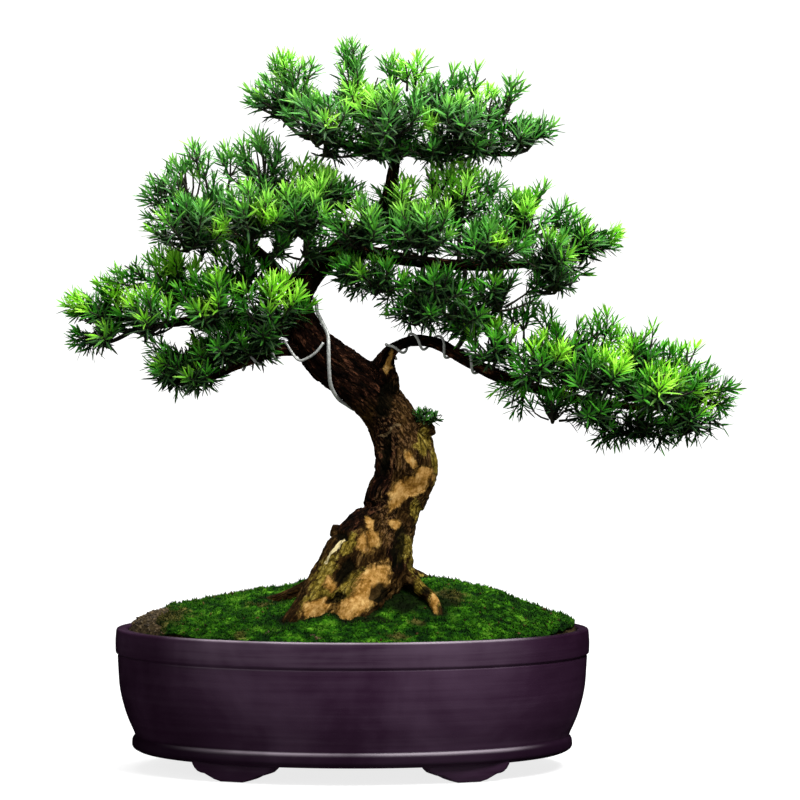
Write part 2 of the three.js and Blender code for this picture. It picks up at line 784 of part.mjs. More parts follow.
// A spray's stem and hub, and the lines of the shoots that leave the hub's upright faces and its crown
function plantSpray(place) {
  const { name, draw, stem } = place;
  const [root, elbow, hub] = stem.points;
  const heading = hub.clone().sub(elbow).normalize().add(at(0, 0, stemLift)).normalize();
  const crown = hub.clone().addScaledVector(heading, hubHeight);
  const mesh = new GrownMesh();
  const towards = at(Math.cos(place.turn), Math.sin(place.turn), 0.1);
  const centres = [root, elbow, hub, crown];
  const tangents = [stem.out, hub.clone().sub(root).normalize(), heading, heading];
  const radii = [stemFoot, stemRadius, hubRadius, hubRadius];
  const rings = [mesh.addRing(root, stem.out, towards, stemFoot)];
  mesh.close([rings[0][0], rings[0][2], rings[0][1]]);
  for (let i = 1; i < centres.length; i++) {
    const edge = mesh.middleOf(rings[i - 1].slice(0, 2)).sub(centres[i - 1]);
    rings.push(mesh.addRing(centres[i], tangents[i], edge, radii[i]));
  }
  for (const i of [0, 1]) mesh.facesBetween(rings[i], rings[i + 1]).forEach((face) => mesh.close(face));
  place.heading = heading;
  place.mesh = mesh;
  place.shoots = mesh.facesBetween(rings[2], rings[3]).map((face, i) => {
    if (place.tuft) return { face };
    const start = mesh.middleOf(face);
    const outward = start.clone().sub(hub);
    outward.addScaledVector(heading, -outward.dot(heading)).normalize();
    const rise = sideRise + sideRiseSpread * draw();
    const leaves = outward.clone().addScaledVector(heading, 0.5).normalize();
    const line = i % 2 ? null : shootLine(place, start, leaves, Math.atan2(outward.y, outward.x), rise);
    return { face, line };
  });
  const bearing = 2 * Math.PI * draw();
  const tall = !place.tuft && place.rz > tallCushion;
  const crownLine = tall ? shootLine(place, crown, heading, bearing, crownRise) : null;
  place.shoots.push({ face: rings[3], line: crownLine, crown: true });
  place.shoots.forEach((shoot, i) => {
    shoot.owner = `${name}:${i}`;
    const line = shoot.line ?? [];
    for (let k = 1; k < line.length; k++) take(line[k - 1], line[k], twigRadius, shoot.owner);
  });
}

function dressSpray(place) {
  for (const { face, line, crown, owner } of place.shoots) {
    if (line) growShoot(place.mesh, face, line, owner, place.draw);
    else if (crown) growBlade(place.mesh, face, place.heading, tipLean, bladeLength, place.name);
    else if (place.tuft) growBlade(place.mesh, face, place.heading, tuftLean, tuftBlade, place.name);
    else place.mesh.close(face);
  }
  return place.mesh.solid();
}

// Assembly

const plant = new THREE.Group();

function addPiece(name, solid, look) {
  const mesh = new THREE.Mesh(geometryOf(solid), new THREE.MeshStandardMaterial(colours[look]));
  mesh.name = name;
  plant.add(mesh);
}

addPiece("pot", potSolid(), "clay");
addPiece("drain_screen_left", screenSolid(-drainOffset), "screen");
addPiece("drain_screen_right", screenSolid(drainOffset), "screen");

const hole = footHole();
const screenRoom = new THREE.BoxGeometry(screenSize + 1, screenSize + 1, screenRoomHeight);
const soilHole = [-1, 1].reduce(
  (whole, side) => whole.add(solidOf(screenRoom.clone().translate(side * drainOffset, 0, floorTop))),
  hole,
);
addPiece("soil", mainBody(soilSolid().subtract(soilHole)), "soil");
addPiece("moss", mainBody(mossSolid().subtract(hole)), "moss");

takeLine(trunkLine, "tree");
for (const line of [...rootLines, stubLine, knotLine, ...Object.values(branchLines)]) takeLine(line, "tree");
addPiece("tree", treeSolid(), "bark");

for (const [name, wire] of Object.entries(wires)) {
  const points = wirePoints(wire);
  for (let i = 0; i + 1 < points.length; i++) take(points[i], points[i + 1], wire.radius, name);
  addPiece(name, solidOf(tube(points, points.map(() => wire.radius), wireSides)), "wire");
}

const sprays = Object.entries(pads).flatMap(([pad, { homes, cushions }]) =>
  cushions.map(([x, y, z, rx, rz], i) => ({
    name: `spray_${pad}_${String(i + 1).padStart(2, "0")}`,
    homes,
    root: at(...branchLines[homes[0]][0].slice(0, 3)),
    middle: at(x, y, z),
    hub: at(x, hubInset * y, z - hubDrop * rz),
    rx,
    rz,
  })),
);

// The tuft that sprouts from the sawn stub has blades alone, straight from its hub.
sprays.push({ name: "spray_stub", stem: stubStem, tuft: true });

sprays.forEach((spray, i) => {
  spray.draw = drawFrom(1000 + 37 * i);
  spray.turn = 2 * Math.PI * spray.draw();
  if (!spray.stem) spray.stem = stemLine(spray);
  const [root, elbow, hub] = spray.stem.points;
  take(root, elbow, stemRadius, `${spray.name}:stem`);
  take(elbow, hub, stemRadius, `${spray.name}:stem`);
});
for (const spray of sprays) plantSpray(spray);
for (const spray of sprays) addPiece(spray.name, dressSpray(spray), "leaf");

// The origin is on the ground under the middle of the whole plant, so the pot stands a little to its left.
const middle = new THREE.Box3().setFromObject(plant).getCenter(new THREE.Vector3());
plant.position.set(-middle.x, -middle.y, 0);

export default plant;
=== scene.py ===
import math
import bpy
import bmesh
import numpy as np
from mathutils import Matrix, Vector, kdtree, noise


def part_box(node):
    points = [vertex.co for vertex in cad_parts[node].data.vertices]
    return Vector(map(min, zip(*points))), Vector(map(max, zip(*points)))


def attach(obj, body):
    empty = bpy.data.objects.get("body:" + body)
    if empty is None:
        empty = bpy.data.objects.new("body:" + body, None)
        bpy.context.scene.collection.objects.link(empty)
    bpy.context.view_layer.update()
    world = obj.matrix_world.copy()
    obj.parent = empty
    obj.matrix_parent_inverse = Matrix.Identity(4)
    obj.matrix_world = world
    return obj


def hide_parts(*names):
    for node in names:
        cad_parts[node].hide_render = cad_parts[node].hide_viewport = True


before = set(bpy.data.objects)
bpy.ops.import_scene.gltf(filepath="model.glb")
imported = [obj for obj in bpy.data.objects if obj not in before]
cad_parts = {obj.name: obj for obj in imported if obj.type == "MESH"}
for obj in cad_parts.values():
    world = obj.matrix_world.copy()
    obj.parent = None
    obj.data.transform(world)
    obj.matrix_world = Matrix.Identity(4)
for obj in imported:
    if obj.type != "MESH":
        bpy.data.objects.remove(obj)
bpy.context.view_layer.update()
potLow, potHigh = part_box("pot")
potMiddle = np.array([(potLow.x + potHigh.x) / 2, (potLow.y + potHigh.y) / 2, 0.0])

# Shapes below are in millimetres round the middle of the pot, +Z up, the front facing -Y.


# Shader maths

class Value:  # a socket that can stand in an expression
    def __init__(self, look, socket):
        self.look = look
        self.socket = socket

    def join(self, operation, first, second):
        return self.look.node("ShaderNodeMath", {"operation": operation}, {0: first, 1: second})

    def __add__(self, other):
        return self.join("ADD", self, other)

    def __mul__(self, other):
        return self.join("MULTIPLY", self, other)

    def __sub__(self, other):
        return self.join("SUBTRACT", self, other)

    def __rsub__(self, other):
        return self.join("SUBTRACT", other, self)

    __radd__ = __add__
    __rmul__ = __mul__


class Look:  # one material and the nodes that feed its Principled shader
    def __init__(self, name, **fixed):
        self.material = bpy.data.materials.new(name)
        self.material.use_nodes = True
        self.tree = self.material.node_tree
        self.shader = self.tree.nodes["Principled BSDF"]
        for socket, value in fixed.items():
            self.shader.inputs[socket.replace("_", " ")].default_value = value

    def node(self, kind, settings=None, inputs=None, output=0):
        node = self.tree.nodes.new(kind)
        for key, value in (settings or {}).items():
            if key == "stops":
                ramp = node.color_ramp.elements
                while len(ramp) < len(value):
                    ramp.new(0.5)
                for stop, (place, colour) in zip(ramp, value):
                    stop.position = place
                    stop.color = (*colour, 1)
            else:
                setattr(node, key, value)
        for key, value in (inputs or {}).items():
            if isinstance(value, Value):
                self.tree.links.new(value.socket, node.inputs[key])
            else:
                node.inputs[key].default_value = value
        return Value(self, node.outputs[output])

    def feed(self, socket, value):
        self.tree.links.new(value.socket, self.shader.inputs[socket])

    def layer(self, name):  # a number that the mesh carries
        return self.node("ShaderNodeAttribute", {"attribute_name": name}, output="Fac")

    def place(self, name=None, scale=(1, 1, 1)):  # object place in metres, or a vector that the mesh carries
        if name:
            source = self.node("ShaderNodeAttribute", {"attribute_name": name}, output="Vector")
        else:
            source = self.node("ShaderNodeTexCoord", output="Object")
        return self.node("ShaderNodeVectorMath", {"operation": "MULTIPLY"}, {0: source, 1: scale})

    def noise(self, place, scale, detail=3.0, rough=0.55, warp=0.0):
        inputs = {"Vector": place, "Scale": scale, "Detail": detail, "Roughness": rough, "Distortion": warp}
        return self.node("ShaderNodeTexNoise", None, inputs)

    def cells(self, place, scale, feature="F1"):
        inputs = {"Vector": place, "Scale": scale}
        return self.node("ShaderNodeTexVoronoi", {"feature": feature}, inputs, "Distance")

    def height(self, vector):  # its upward part
        return self.node("ShaderNodeSeparateXYZ", None, {0: vector}, "Z")

    def between(self, value, low, high):  # a smooth step
        inputs = {"Value": value, "From Min": low, "From Max": high}
        return self.node("ShaderNodeMapRange", {"interpolation_type": "SMOOTHSTEP"}, inputs)

    def ramp(self, value, stops):
        return self.node("ShaderNodeValToRGB", {"stops": stops}, {"Fac": value})

    def mix(self, share, first, second):
        first, second = ((*c, 1) if isinstance(c, tuple) else c for c in (first, second))
        return self.node("ShaderNodeMix", {"data_type": "RGBA"}, {0: share, 6: first, 7: second}, output=2)

    def tint(self, tone, colour, value, low, high, most=1.0):  # the colour comes in from low to high
        return self.mix(self.between(value, low, high) * most, tone, colour)

    def bump(self, height, strength, distance, under=None):
        inputs = {"Height": height, "Strength": strength, "Distance": distance}
        if under:
            inputs["Normal"] = under
        return self.node("ShaderNodeBump", None, inputs)


def grained(name, grain, stops, relief, fine=None, **fixed):  # a look made of one noise
    look = Look(name, **fixed)
    tone = look.noise(look.place(), *grain)
    look.feed("Base Color", look.ramp(tone, stops))
    height = look.noise(look.place(), *fine) if fine else tone
    look.feed("Normal", look.bump(height, *relief))
    return look, tone


# Mesh tools

spiral = 2.39996  # the turn from one leaf or shoot to the next, in radians


def unit(v):
    return v / np.maximum(np.linalg.norm(v, axis=-1, keepdims=True), 1e-9)


def blendStep(low, high, x):
    t = np.clip((x - low) / (high - low), 0, 1)
    return t * t * (3 - 2 * t)


def arc(start, lean, end, t):  # a curve from start to end that leans towards a place beside it
    return start * (1 - t)**2 + lean * 2 * t * (1 - t) + end * t**2


def around(side, across, angle):  # the direction at an angle from side towards across
    return side * np.cos(angle)[:, None] + across * np.sin(angle)[:, None]


def lengthsAlong(centres):  # how far along a line each of its points lies
    return np.concatenate([[0], np.cumsum(np.linalg.norm(np.diff(centres, axis=0), axis=1))])


def flatPlaces(x, y):
    return np.stack([x, y, np.zeros_like(x)], -1)


def repeated(faces, count, n):  # one shape's faces for many copies of it, of n points each
    return ((np.arange(count) * n)[:, None, None] + faces).reshape(-1, faces.shape[1])


def linked(name, data):
    piece = bpy.data.objects.new(name, data)
    bpy.context.scene.collection.objects.link(piece)
    return piece


def addObject(name, shape, look, layers=None, sharp=None):  # a shape is its points, then lists of faces
    points, *faces = shape
    mesh = bpy.data.meshes.new(name)
    mesh.vertices.add(len(points))
    mesh.vertices.foreach_set("co", (points / 1000 + potMiddle).astype(np.float32).ravel())
    sizes = np.concatenate([np.full(len(f), f.shape[1]) for f in faces])
    mesh.loops.add(int(sizes.sum()))
    mesh.loops.foreach_set("vertex_index", np.concatenate([f.ravel() for f in faces]).astype(np.int32))
    mesh.polygons.add(len(sizes))
    mesh.polygons.foreach_set("loop_start", (np.cumsum(sizes) - sizes).astype(np.int32))
    mesh.polygons.foreach_set("use_smooth", np.ones(len(sizes), bool))
    mesh.update(calc_edges=True)
    paint(mesh, layers or {})
    if sharp:
        mesh.set_sharp_from_angle(angle=sharp)
    mesh.materials.append(look.material)
    return linked(name, mesh)


def paint(mesh, layers):
    for name, values in layers.items():
        vector = values.ndim == 2
        layer = mesh.attributes.new(name, "FLOAT_VECTOR" if vector else "FLOAT", "POINT")
        layer.data.foreach_set("vector" if vector else "value", values.astype(np.float32).ravel())


def applied(piece):  # gives the piece the mesh that its modifiers make
    bpy.context.view_layer.update()
    made = piece.evaluated_get(bpy.context.evaluated_depsgraph_get())
    mesh = bpy.data.meshes.new_from_object(made)
    piece.modifiers.clear()
    piece.data = mesh
    return mesh


def readVectors(items, key):
    flat = np.empty(len(items) * 3, np.float32)
    items.foreach_get(key, flat)
    return flat.reshape(-1, 3).astype(float)


def dress(piece, slot, *nodes):
    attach(piece, "root")
    if nodes:
        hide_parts(*nodes)


def smoothLine(points, step):  # a curve through points given as x, y, z and radius, with their running number
    points = np.asarray(points, float)
    padded = np.vstack([2 * points[0] - points[1], points, 2 * points[-1] - points[-2]])
    rows, places = [], []
    for i in range(len(points) - 1):
        a, b, c, d = padded[i:i + 4]
        count = max(2, round(np.linalg.norm((c - b)[:3]) / step))
        t = (np.arange(count) / count)[:, None]
        rows.append(0.5 * (2 * b + (c - a) * t + (2 * a - 5 * b + 4 * c - d) * t**2
                           + (3 * b - a - 3 * c + d) * t**3))
        places.append(i + t[:, 0])
    rows.append(points[-1:])
    places.append([len(points) - 1.0])
    return np.vstack(rows), np.concatenate(places)


def framesAlong(centres):
    tangents = unit(np.gradient(centres, axis=0))
    side = np.array([0.0, 1.0, 0.0] if abs(tangents[0][0]) > 0.9 else [1.0, 0.0, 0.0])
    sides = []
    for tangent in tangents:
        side = unit(side - tangent * side.dot(tangent))
        sides.append(side)
    sides = np.array(sides)
    return tangents, sides, np.cross(tangents, sides)


def ringFaces(rings, n, turned=False):  # quads between rings of n points, and fans to two end points
    k = np.arange(n)
    after = (k + 1) % n
    row = (np.arange(rings - 1) * n)[:, None]
    quads = np.stack([row + k, row + after, row + after + n, row + k + n], -1).reshape(-1, 4)
    middle, end = rings * n, (rings - 1) * n
    fans = [[np.full(n, middle), after, k], [np.full(n, middle + 1), end + k, end + after]]
    tris = np.vstack([np.stack(fan, -1) for fan in fans])
    return (quads[:, [0, 3, 2, 1]], tris[:, [0, 2, 1]]) if turned else (quads, tris)


def tube(line, sides, swell=None):  # a closed tube, as points, quads and triangles
    centres, radii = line[:, :3], line[:, 3]
    _, side, across = framesAlong(centres)
    angle = np.arange(sides) * 2 * np.pi / sides
    reach = radii[:, None] * (np.ones((len(line), sides)) if swell is None else swell(angle))
    ring = (side[:, None] * np.cos(angle)[None, :, None] + across[:, None] * np.sin(angle)[None, :, None])
    points = (centres[:, None] + ring * reach[..., None]).reshape(-1, 3)
    return np.vstack([points, centres[:1], centres[-1:]]), *ringFaces(len(line), sides)


def gather(shapes):  # several shapes' points and faces in one list
    points, quads, tris, start = [], [], [], 0
    for p, q, t in shapes:
        points.append(p)
        quads.append(q + start)
        tris.append(t + start)
        start += len(p)
    return np.vstack(points), np.vstack(quads), np.vstack(tris)


# Camera, floor and light

studio = {
    "camera": (50.0, -3900.0, 499.6),
    "aim": (50.0, 0.0, 387.0),
    "lens": 166.7,
    "roll": 0.08,
    # Millimetres a dot of the 800-dot front view, and the place of its top left corner
    "dot": 1.0526, "leftEdge": -369.5, "topEdge": 808.0,
    "floorTone": 0.3, "floorGlow": 0.8,
    # The paper: its radius, the bend at its edge, its height and the points round it
    "paper": 7500, "paperBend": 1500, "paperHigh": 9000, "paperSides": 64,
    # Metres from the middle where the paper starts and stops to grow brighter, and the end of its flat middle
    "glowFrom": 0.7, "glowTo": 2.2, "paperFlat": 2500,
    "lamps": {
        "key": {"place": (1.0, -1.3, 2.2), "aim": (0, 0, 0.4), "size": 0.9, "power": 78},
        "fill": {"place": (-1.9, -1.7, 1.2), "aim": (0, 0, 0.4), "size": 1.6, "power": 10},
        "top": {"place": (-0.1, 0.4, 2.3), "aim": (0, 0, 0.4), "size": 1.4, "power": 52},
        "backdrop": {"place": (0.0, 1.2, 2.6), "aim": (0, 2.4, 0.9), "size": 2.4, "power": 40},
    },
    "world": 0.34,
}


def aimed(obj, place, aim):
    obj.location = place
    obj.rotation_euler = (Vector(aim) - Vector(place)).to_track_quat("-Z", "Y").to_euler()


def fromFront(column, row, y=0.0):  # the place at a depth that the front view shows there
    return np.array([studio["dot"] * column + studio["leftEdge"], y, studio["topEdge"] - studio["dot"] * row])


def seenAt(points):  # column and row of the front view where places are seen
    eye = np.array(studio["camera"])
    flat = eye + (points - eye) * (-eye[1] / (points[:, 1:2] - eye[1]))
    return (flat[:, 0] - studio["leftEdge"]) / studio["dot"], (studio["topEdge"] - flat[:, 2]) / studio["dot"]


def makeStudio():
    scene = bpy.context.scene
    scene.view_settings.view_transform = "Standard"
    camera = linked("camera", bpy.data.cameras.new("camera"))
    camera.data.lens = studio["lens"]
    camera.data.sensor_width = 36
    camera.data.clip_end = 50
    aimed(camera, *(np.array(studio[name]) / 1000 + potMiddle for name in ("camera", "aim")))
    camera.rotation_euler.rotate_axis("Z", math.radians(studio["roll"]))
    scene.camera = camera
    for name, settings in studio["lamps"].items():
        lamp = bpy.data.lights.new(name, "AREA")
        lamp.size = settings["size"]
        lamp.energy = settings["power"]
        aimed(linked(name, lamp), settings["place"], settings["aim"])
    world = bpy.data.worlds.new("room")
    scene.world = world
    world.use_nodes = True
    background = world.node_tree.nodes["Background"].inputs
    background["Color"].default_value = (1, 1, 1, 1)
    background["Strength"].default_value = studio["world"]
    world.cycles_visibility.glossy = False
    tone = (studio["floorTone"],) * 3
    paper = Look("paper", Base_Color=(*tone, 1), Roughness=0.9, Emission_Strength=1.0)
    away = paper.node("ShaderNodeVectorMath", {"operation": "LENGTH"}, {0: paper.place()}, output="Value")
    glow = (studio["floorGlow"],) * 3
    glow = paper.tint(glow, (1.0, 1.0, 1.0), away, studio["glowFrom"], studio["glowTo"])
    paper.feed("Emission Color", glow)
    # One round sheet, floor, bend and wall, so that every view has the same paper behind the tree
    bend = np.linspace(0, math.pi / 2, 14)
    out = studio["paperBend"] * np.sin(bend) + studio["paper"] - studio["paperBend"]
    reach = np.concatenate([[0, studio["paperFlat"]], out, [studio["paper"]]])
    height = np.concatenate([[0, 0], studio["paperBend"] * (1 - np.cos(bend)), [studio["paperHigh"]]])
    turn = np.arange(studio["paperSides"]) * 2 * np.pi / studio["paperSides"]
    columns = [(reach, np.cos(turn)), (reach, np.sin(turn)), (height, np.ones(len(turn)))]
    points = np.stack([np.outer(*column) for column in columns], -1).reshape(-1, 3)
    quads, _ = ringFaces(len(reach), len(turn))
    sheet = addObject("backdrop_sheet", (points, quads), paper)
    # The bright sheet lights nothing, so dark glaze and deep foliage stay dark
    sheet.visible_diffuse = False
    sheet.visible_glossy = False


makeStudio()
print("studio done")


# Pot: an oval bowl with a rim band, a foot flange and four cloud feet, fired as one piece

pot = {
    "segments": 190, "depthShare": 0.72, "rim": 147, "sharp": 50,
    # r, z and the radius that rounds that corner
    "profile": [
        (0, 18, 0), (225, 18, 2.5), (232.5, 22, 3.5), (232, 31, 3), (229, 34.5, 1.5), (230.2, 38, 1.5),
        (238, 55, 30), (245.6, 82, 40), (247.6, 117.6, 1.2), (246.9, 119.4, 0.8), (249.7, 121.6, 1.4),
        (250, 134, 4), (248.9, 147, 2.6), (237.2, 147, 2.6), (234.5, 108, 8), (222, 56, 20), (200, 31, 10),
        (0, 31, 0),
    ],
    # Half of a foot's outline, and how much its outline shrinks towards its two faces
    "footHalf": [
        (12, 0), (20, 2.2), (26, 5.2), (31, 7.6), (35, 8.2), (38.5, 9.6), (42, 12.8), (44.5, 17), (46, 22),
    ],
    "footRounding": [(0.6, 0), (0.8, 0.015), (0.94, 0.05), (1, 0.1)],
    "footTop": 26, "footPlace": (117, 118), "footTurn": 0.36, "footDepth": 32,
    "drainPlace": 95, "drainRadius": 13,
}


def roundedProfile(corners, steps=5, longest=14):  # a line that rounds its corners, cut into short steps
    out = []
    for i, (r, z, radius) in enumerate(corners):
        here = np.array([r, z], float)
        if radius == 0:
            out.append(here)
            continue
        before = np.array(corners[i - 1][:2]) - here
        after = np.array(corners[i + 1][:2]) - here
        reach = min(radius, 0.48 * np.linalg.norm(before), 0.48 * np.linalg.norm(after))
        a, b = here + unit(before) * reach, here + unit(after) * reach
        out += [arc(a, here, b, t) for t in np.linspace(0, 1, steps)]
    fine = [np.array(out[:1])]
    for a, b in zip(out, out[1:]):
        count = max(1, int(np.linalg.norm(b - a) / longest))
        fine.append(a + (b - a) * np.linspace(0, 1, count + 1)[1:, None])
    return np.vstack(fine)


def potBody():
    profile = roundedProfile(pot["profile"])
    n = pot["segments"]
    angle = np.arange(n) * 2 * np.pi / n
    inner = profile[1:-1]
    # The wall of a hand-pressed pot wavers a little
    high = inner[:, 1:] / pot["rim"]
    waver = 1 + 0.0011 * np.sin(3 * angle + 1)[None] * high + 0.0007 * np.sin(7 * angle)[None]
    r = inner[:, :1] * waver
    x, y = r * np.cos(angle), r * np.sin(angle) * pot["depthShare"]
    z = np.repeat(inner[:, 1:], n, 1)
    points = np.stack([x, y, z], -1).reshape(-1, 3)
    points = np.vstack([points, [[0, 0, profile[0][1]], [0, 0, profile[-1][1]]]])
    return points, *ringFaces(len(inner), n)


def cloudFoot(sideX, sideY):
    # The outline stays whole in the middle of the foot's thickness and rounds off to its two faces
    half = np.array(pot["footHalf"], float)
    outline = []
    for a, b in zip(half, half[1:]):
        outline += [a + (b - a) * t for t in (0, 1 / 3, 2 / 3)]
    outline = np.array(outline + [half[-1], [half[-1][0], pot["footTop"]]])
    loop = np.vstack([outline, outline[::-1] * (-1, 1)])
    rounding = pot["footRounding"]
    levels = []
    for out, shrink in [(-out, shrink) for out, shrink in rounding[::-1]] + rounding:
        level = np.full(len(loop), out * pot["footDepth"] / 2)
        z = np.minimum(pot["footTop"], loop[:, 1] + 14 * shrink * (loop[:, 1] < pot["footTop"] - 1))
        levels.append(np.stack([loop[:, 0] * (1 - shrink), level, z], -1))
    quads, tris = ringFaces(len(levels), len(loop), turned=True)
    points = np.vstack([*levels, levels[0].mean(0)[None], levels[-1].mean(0)[None]])
    turn = -sideX * sideY * pot["footTurn"]
    c, s = math.cos(turn), math.sin(turn)
    x = points[:, 0] * c - points[:, 1] * s + sideX * pot["footPlace"][0]
    y = points[:, 0] * s + points[:, 1] * c + sideY * pot["footPlace"][1]
    return np.stack([x, y, points[:, 2]], -1), quads, tris


def cutAndJoin(base, others, operation):
    for other in others:
        step = base.modifiers.new("step", "BOOLEAN")
        step.operation = operation
        step.solver = "EXACT"
        step.object = other
    applied(base)
    for other in others:
        bpy.data.objects.remove(other)


def clayLook():
    look = Look("clay", Roughness=0.4, Specular_IOR_Level=0.22)
    place = look.place()
    streaks = look.noise(look.place(scale=(5, 5, 150)), 1.0, 4.0, 0.6)
    clouds = look.noise(place, 7.0, 4.0, 0.6, 0.4)
    specks = look.noise(place, 900.0, 2.0, 0.6)
    pits = look.cells(place, 420.0)
    middle = look.layer("middle")
    # The middle of the pot is painted lighter than its ends, as painted light on its front
    tone = look.ramp(clouds * 0.66 + streaks * 0.2 + middle * 0.14, [
        (0.32, (0.0155, 0.004, 0.014)), (0.52, (0.0325, 0.0115, 0.031)), (0.72, (0.07, 0.0355, 0.069))])
    tone = look.tint(tone, (0.09, 0.06, 0.085), specks, 0.62, 0.76, 0.25)
    height = look.height(place)
    # Painted shade: the clay under the flange is darkened, as the flange shades it
    under = look.between(height, 0.038, 0.033) * look.between(height, 0.016, 0.022)
    tone = look.mix(under * 0.6, tone, (0.006, 0.001, 0.006))
    # Painted highlight: ledges and edges that face up are lighter along the middle of the pot, where the
    # light catches them
    up = look.height(look.node("ShaderNodeNewGeometry", output="Normal"))
    painted_highlight = look.between(up, 0.12, 0.85) * look.between(middle, 0.0, 0.9)
    patchy = look.between(streaks + clouds, 0.8, 1.15)
    painted_highlight = painted_highlight * (0.35 + patchy * 0.65) * (1 - look.between(height, 0.14, 0.146) * 0.35)
    # A faint painted sheen on the rim band, along the middle of the pot
    painted_rim_sheen = look.between(height, 0.12, 0.124) * look.between(middle, 0.0, 0.9) * patchy * 0.035
    highlight_colour = (0.5, 0.42, 0.49)
    tone = look.mix(painted_highlight, look.mix(painted_rim_sheen, tone, highlight_colour), highlight_colour)
    look.feed("Base Color", tone)
    gloss = look.between(clouds, 0.3, 0.75) * 0.14 + look.between(streaks, 0.4, 0.7) * 0.08
    look.feed("Roughness", 0.3 + gloss)
    fine = look.bump(streaks * 0.7 + specks * 0.3, 0.35, 0.0006)
    look.feed("Normal", look.bump(look.between(pits, 0.05, 0.22), 0.25, 0.0002, fine))
    return look


def makePot():
    clay = clayLook()
    piece = addObject("oval_pot", potBody(), clay)
    feet = [addObject("foot", cloudFoot(sideX, sideY), clay) for sideX in (-1, 1) for sideY in (-1, 1)]
    drains = []
    for side in (-1, 1):
        line = [[side * pot["drainPlace"], 0, z, pot["drainRadius"]] for z in (10, 20, 30, 40)]
        drains.append(addObject("drain", tube(np.array(line, float), 40), clay))
    cutAndJoin(piece, feet, "UNION")
    cutAndJoin(piece, drains, "DIFFERENCE")
    piece.data.set_sharp_from_angle(angle=math.radians(pot["sharp"]))
    # 1 in the middle of the pot and 0 at its ends: it places the painted light and highlights on the clay
    x = np.abs(readVectors(piece.data.vertices, "co")[:, 0] - potMiddle[0]) * 1000
    paint(piece.data, {"middle": blendStep(215, 120, x)})
    dress(piece, "clay", "pot")
    stops = [(0.3, (0.01, 0.01, 0.011)), (0.8, (0.03, 0.03, 0.032))]
    screen, _ = grained("screen_plastic", (700.0, 2.0), stops, (0.3, 0.0002), Roughness=0.5)
    for side in ("left", "right"):
        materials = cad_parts[f"drain_screen_{side}"].data.materials
        materials.clear()
        materials.append(screen.material)


makePot()
print("pot done")


# Mound: soil that rises to the tree's foot, and the moss over it

mound = {
    # Its height in the middle and at its rim, its radius, and its depth as a share of its width
    "rise": 48.5, "edge": 141, "reach": 234, "share": 0.72,
    "soilRim": 235.6, "soilWall": [(233.6, 105), (221.6, 56), (199.6, 31.4)],
    "mossReach": 254, "mossRim": 234.6, "bareLeft": 55,
    "mossCells": (208, 150), "soilCells": (104, 76),
    "tufts": 10000, "tuftHigh": (2.2, 5.0),
    "grains": 420, "grainDraws": 12600, "grainTries": 9000, "litter": 130,
    # How its dome leans up to the right and the back
    "lean": 0.62,
    # The lip along its rim: its height in front, what the left end adds and what the right end lacks of that,
    # its place and its width; and the swell at the right end
    "lip": (3, 7, 4.5), "lipPlace": 0.95, "lipWide": 0.11, "rightSwell": 5.5,
    # The size and height of crumbs, moss cushions and the clumps on them, and the height of the moss's waves
    "crumb": (4.2, 0.9), "cushion": (11, 4.4), "clump": (4.4, 1.6), "mossWave": 1.8,
    # The moss's thickness between its cushions, and how deep bare places lie under the soil
    "mossDeep": 3.4, "mossSunk": 3,
    # Low and high places behind the front slope: middle x, width and height
    "waves": [(-72, 36, -4), (78, 18, -2.5), (162, 24, 2)],
    # Painted shade in hollows of the moss: middle x and y, and half of the width and depth
    "damp": [(54, -66, 30, 36), (-40, -30, 14, 18), (20, -108, 30, 9), (92, -60, 30, 12)],
    # Places where old brown moss and needles show
    "brown": [
        (-196, -40, 34, 90), (-150, 90, 70, 40), (-70, 110, 60, 30), (-112, -138, 12, 14),
        (46, -150, 20, 16), (104, -40, 26, 26), (150, 70, 60, 30), (-96, -20, 26, 12), (70, -110, 14, 10),
    ],
    "seed": 11,
}


def moundHeight(x, y):
    reach = mound["reach"]
    out = np.minimum(1, np.hypot(x / reach, y / (reach * mound["share"])))
    # The dome is fuller on the left
    rise = mound["rise"] * (1 - out**(2.15 + 0.5 * blendStep(40, -40, x)))**0.9
    lean = 1 + mound["lean"] * (1 - out * out) * x / 250 + mound["lean"] * y / 180
    bumps = 1.8 * np.sin(x / 21 + 1) * np.cos(y / 17) * (1 - out)
    for middle, wide, high in mound["waves"]:
        bumps += high * np.exp(-((x - middle) / wide)**2) * blendStep(-120, -40, y)
    ends = (x / reach)**2 / np.maximum(out, 0.1)**2
    front, left, right = mound["lip"]
    lip = front + ends * (left - right * blendStep(-40, 40, x))
    lip = lip * np.exp(-((out - mound["lipPlace"]) / mound["lipWide"])**2)
    lip += mound["rightSwell"] * blendStep(206, 230, x)
    return mound["edge"] + rise * lean + bumps + lip


def sampled(pattern, points, size, seed):  # a pattern of the noise module at places in millimetres
    move = Vector((seed * 7.3, seed * 3.1, seed * 5.7))
    return [pattern(Vector(p) / size + move) for p in points]


def noiseAt(points, size, seed):  # about -1 to 1
    return np.array(sampled(noise.noise, points, size, seed))


def cellsAt(points, size, seed):  # distance to the nearest and the second nearest of scattered points
    found = sampled(noise.voronoi, points, size, seed)
    return np.array([near[0] for near, _ in found]), np.array([near[1] for near, _ in found])


def mossEdge(x, y):
    angle = np.arctan2(y / mound["share"], x)
    return mound["mossReach"] - mound["bareLeft"] * np.maximum(0, -np.cos(angle))**6


def mossShare(x, y):  # 1 where the moss is thick, 0 where the soil is bare
    flat = flatPlaces(x, y)
    out = np.hypot(x, y / mound["share"])
    ragged = mossEdge(x, y) + 9 * noiseAt(flat, 16, 1) + 5 * noiseAt(flat, 5, 2) - out
    edge = blendStep(-4, 7, ragged)
    holes = blendStep(0.36, 0.52, noiseAt(flat, 24, 3) + 0.35 * noiseAt(flat, 7, 4))
    return edge * (1 - holes * blendStep(150, 205, out) * blendStep(60, -60, x))


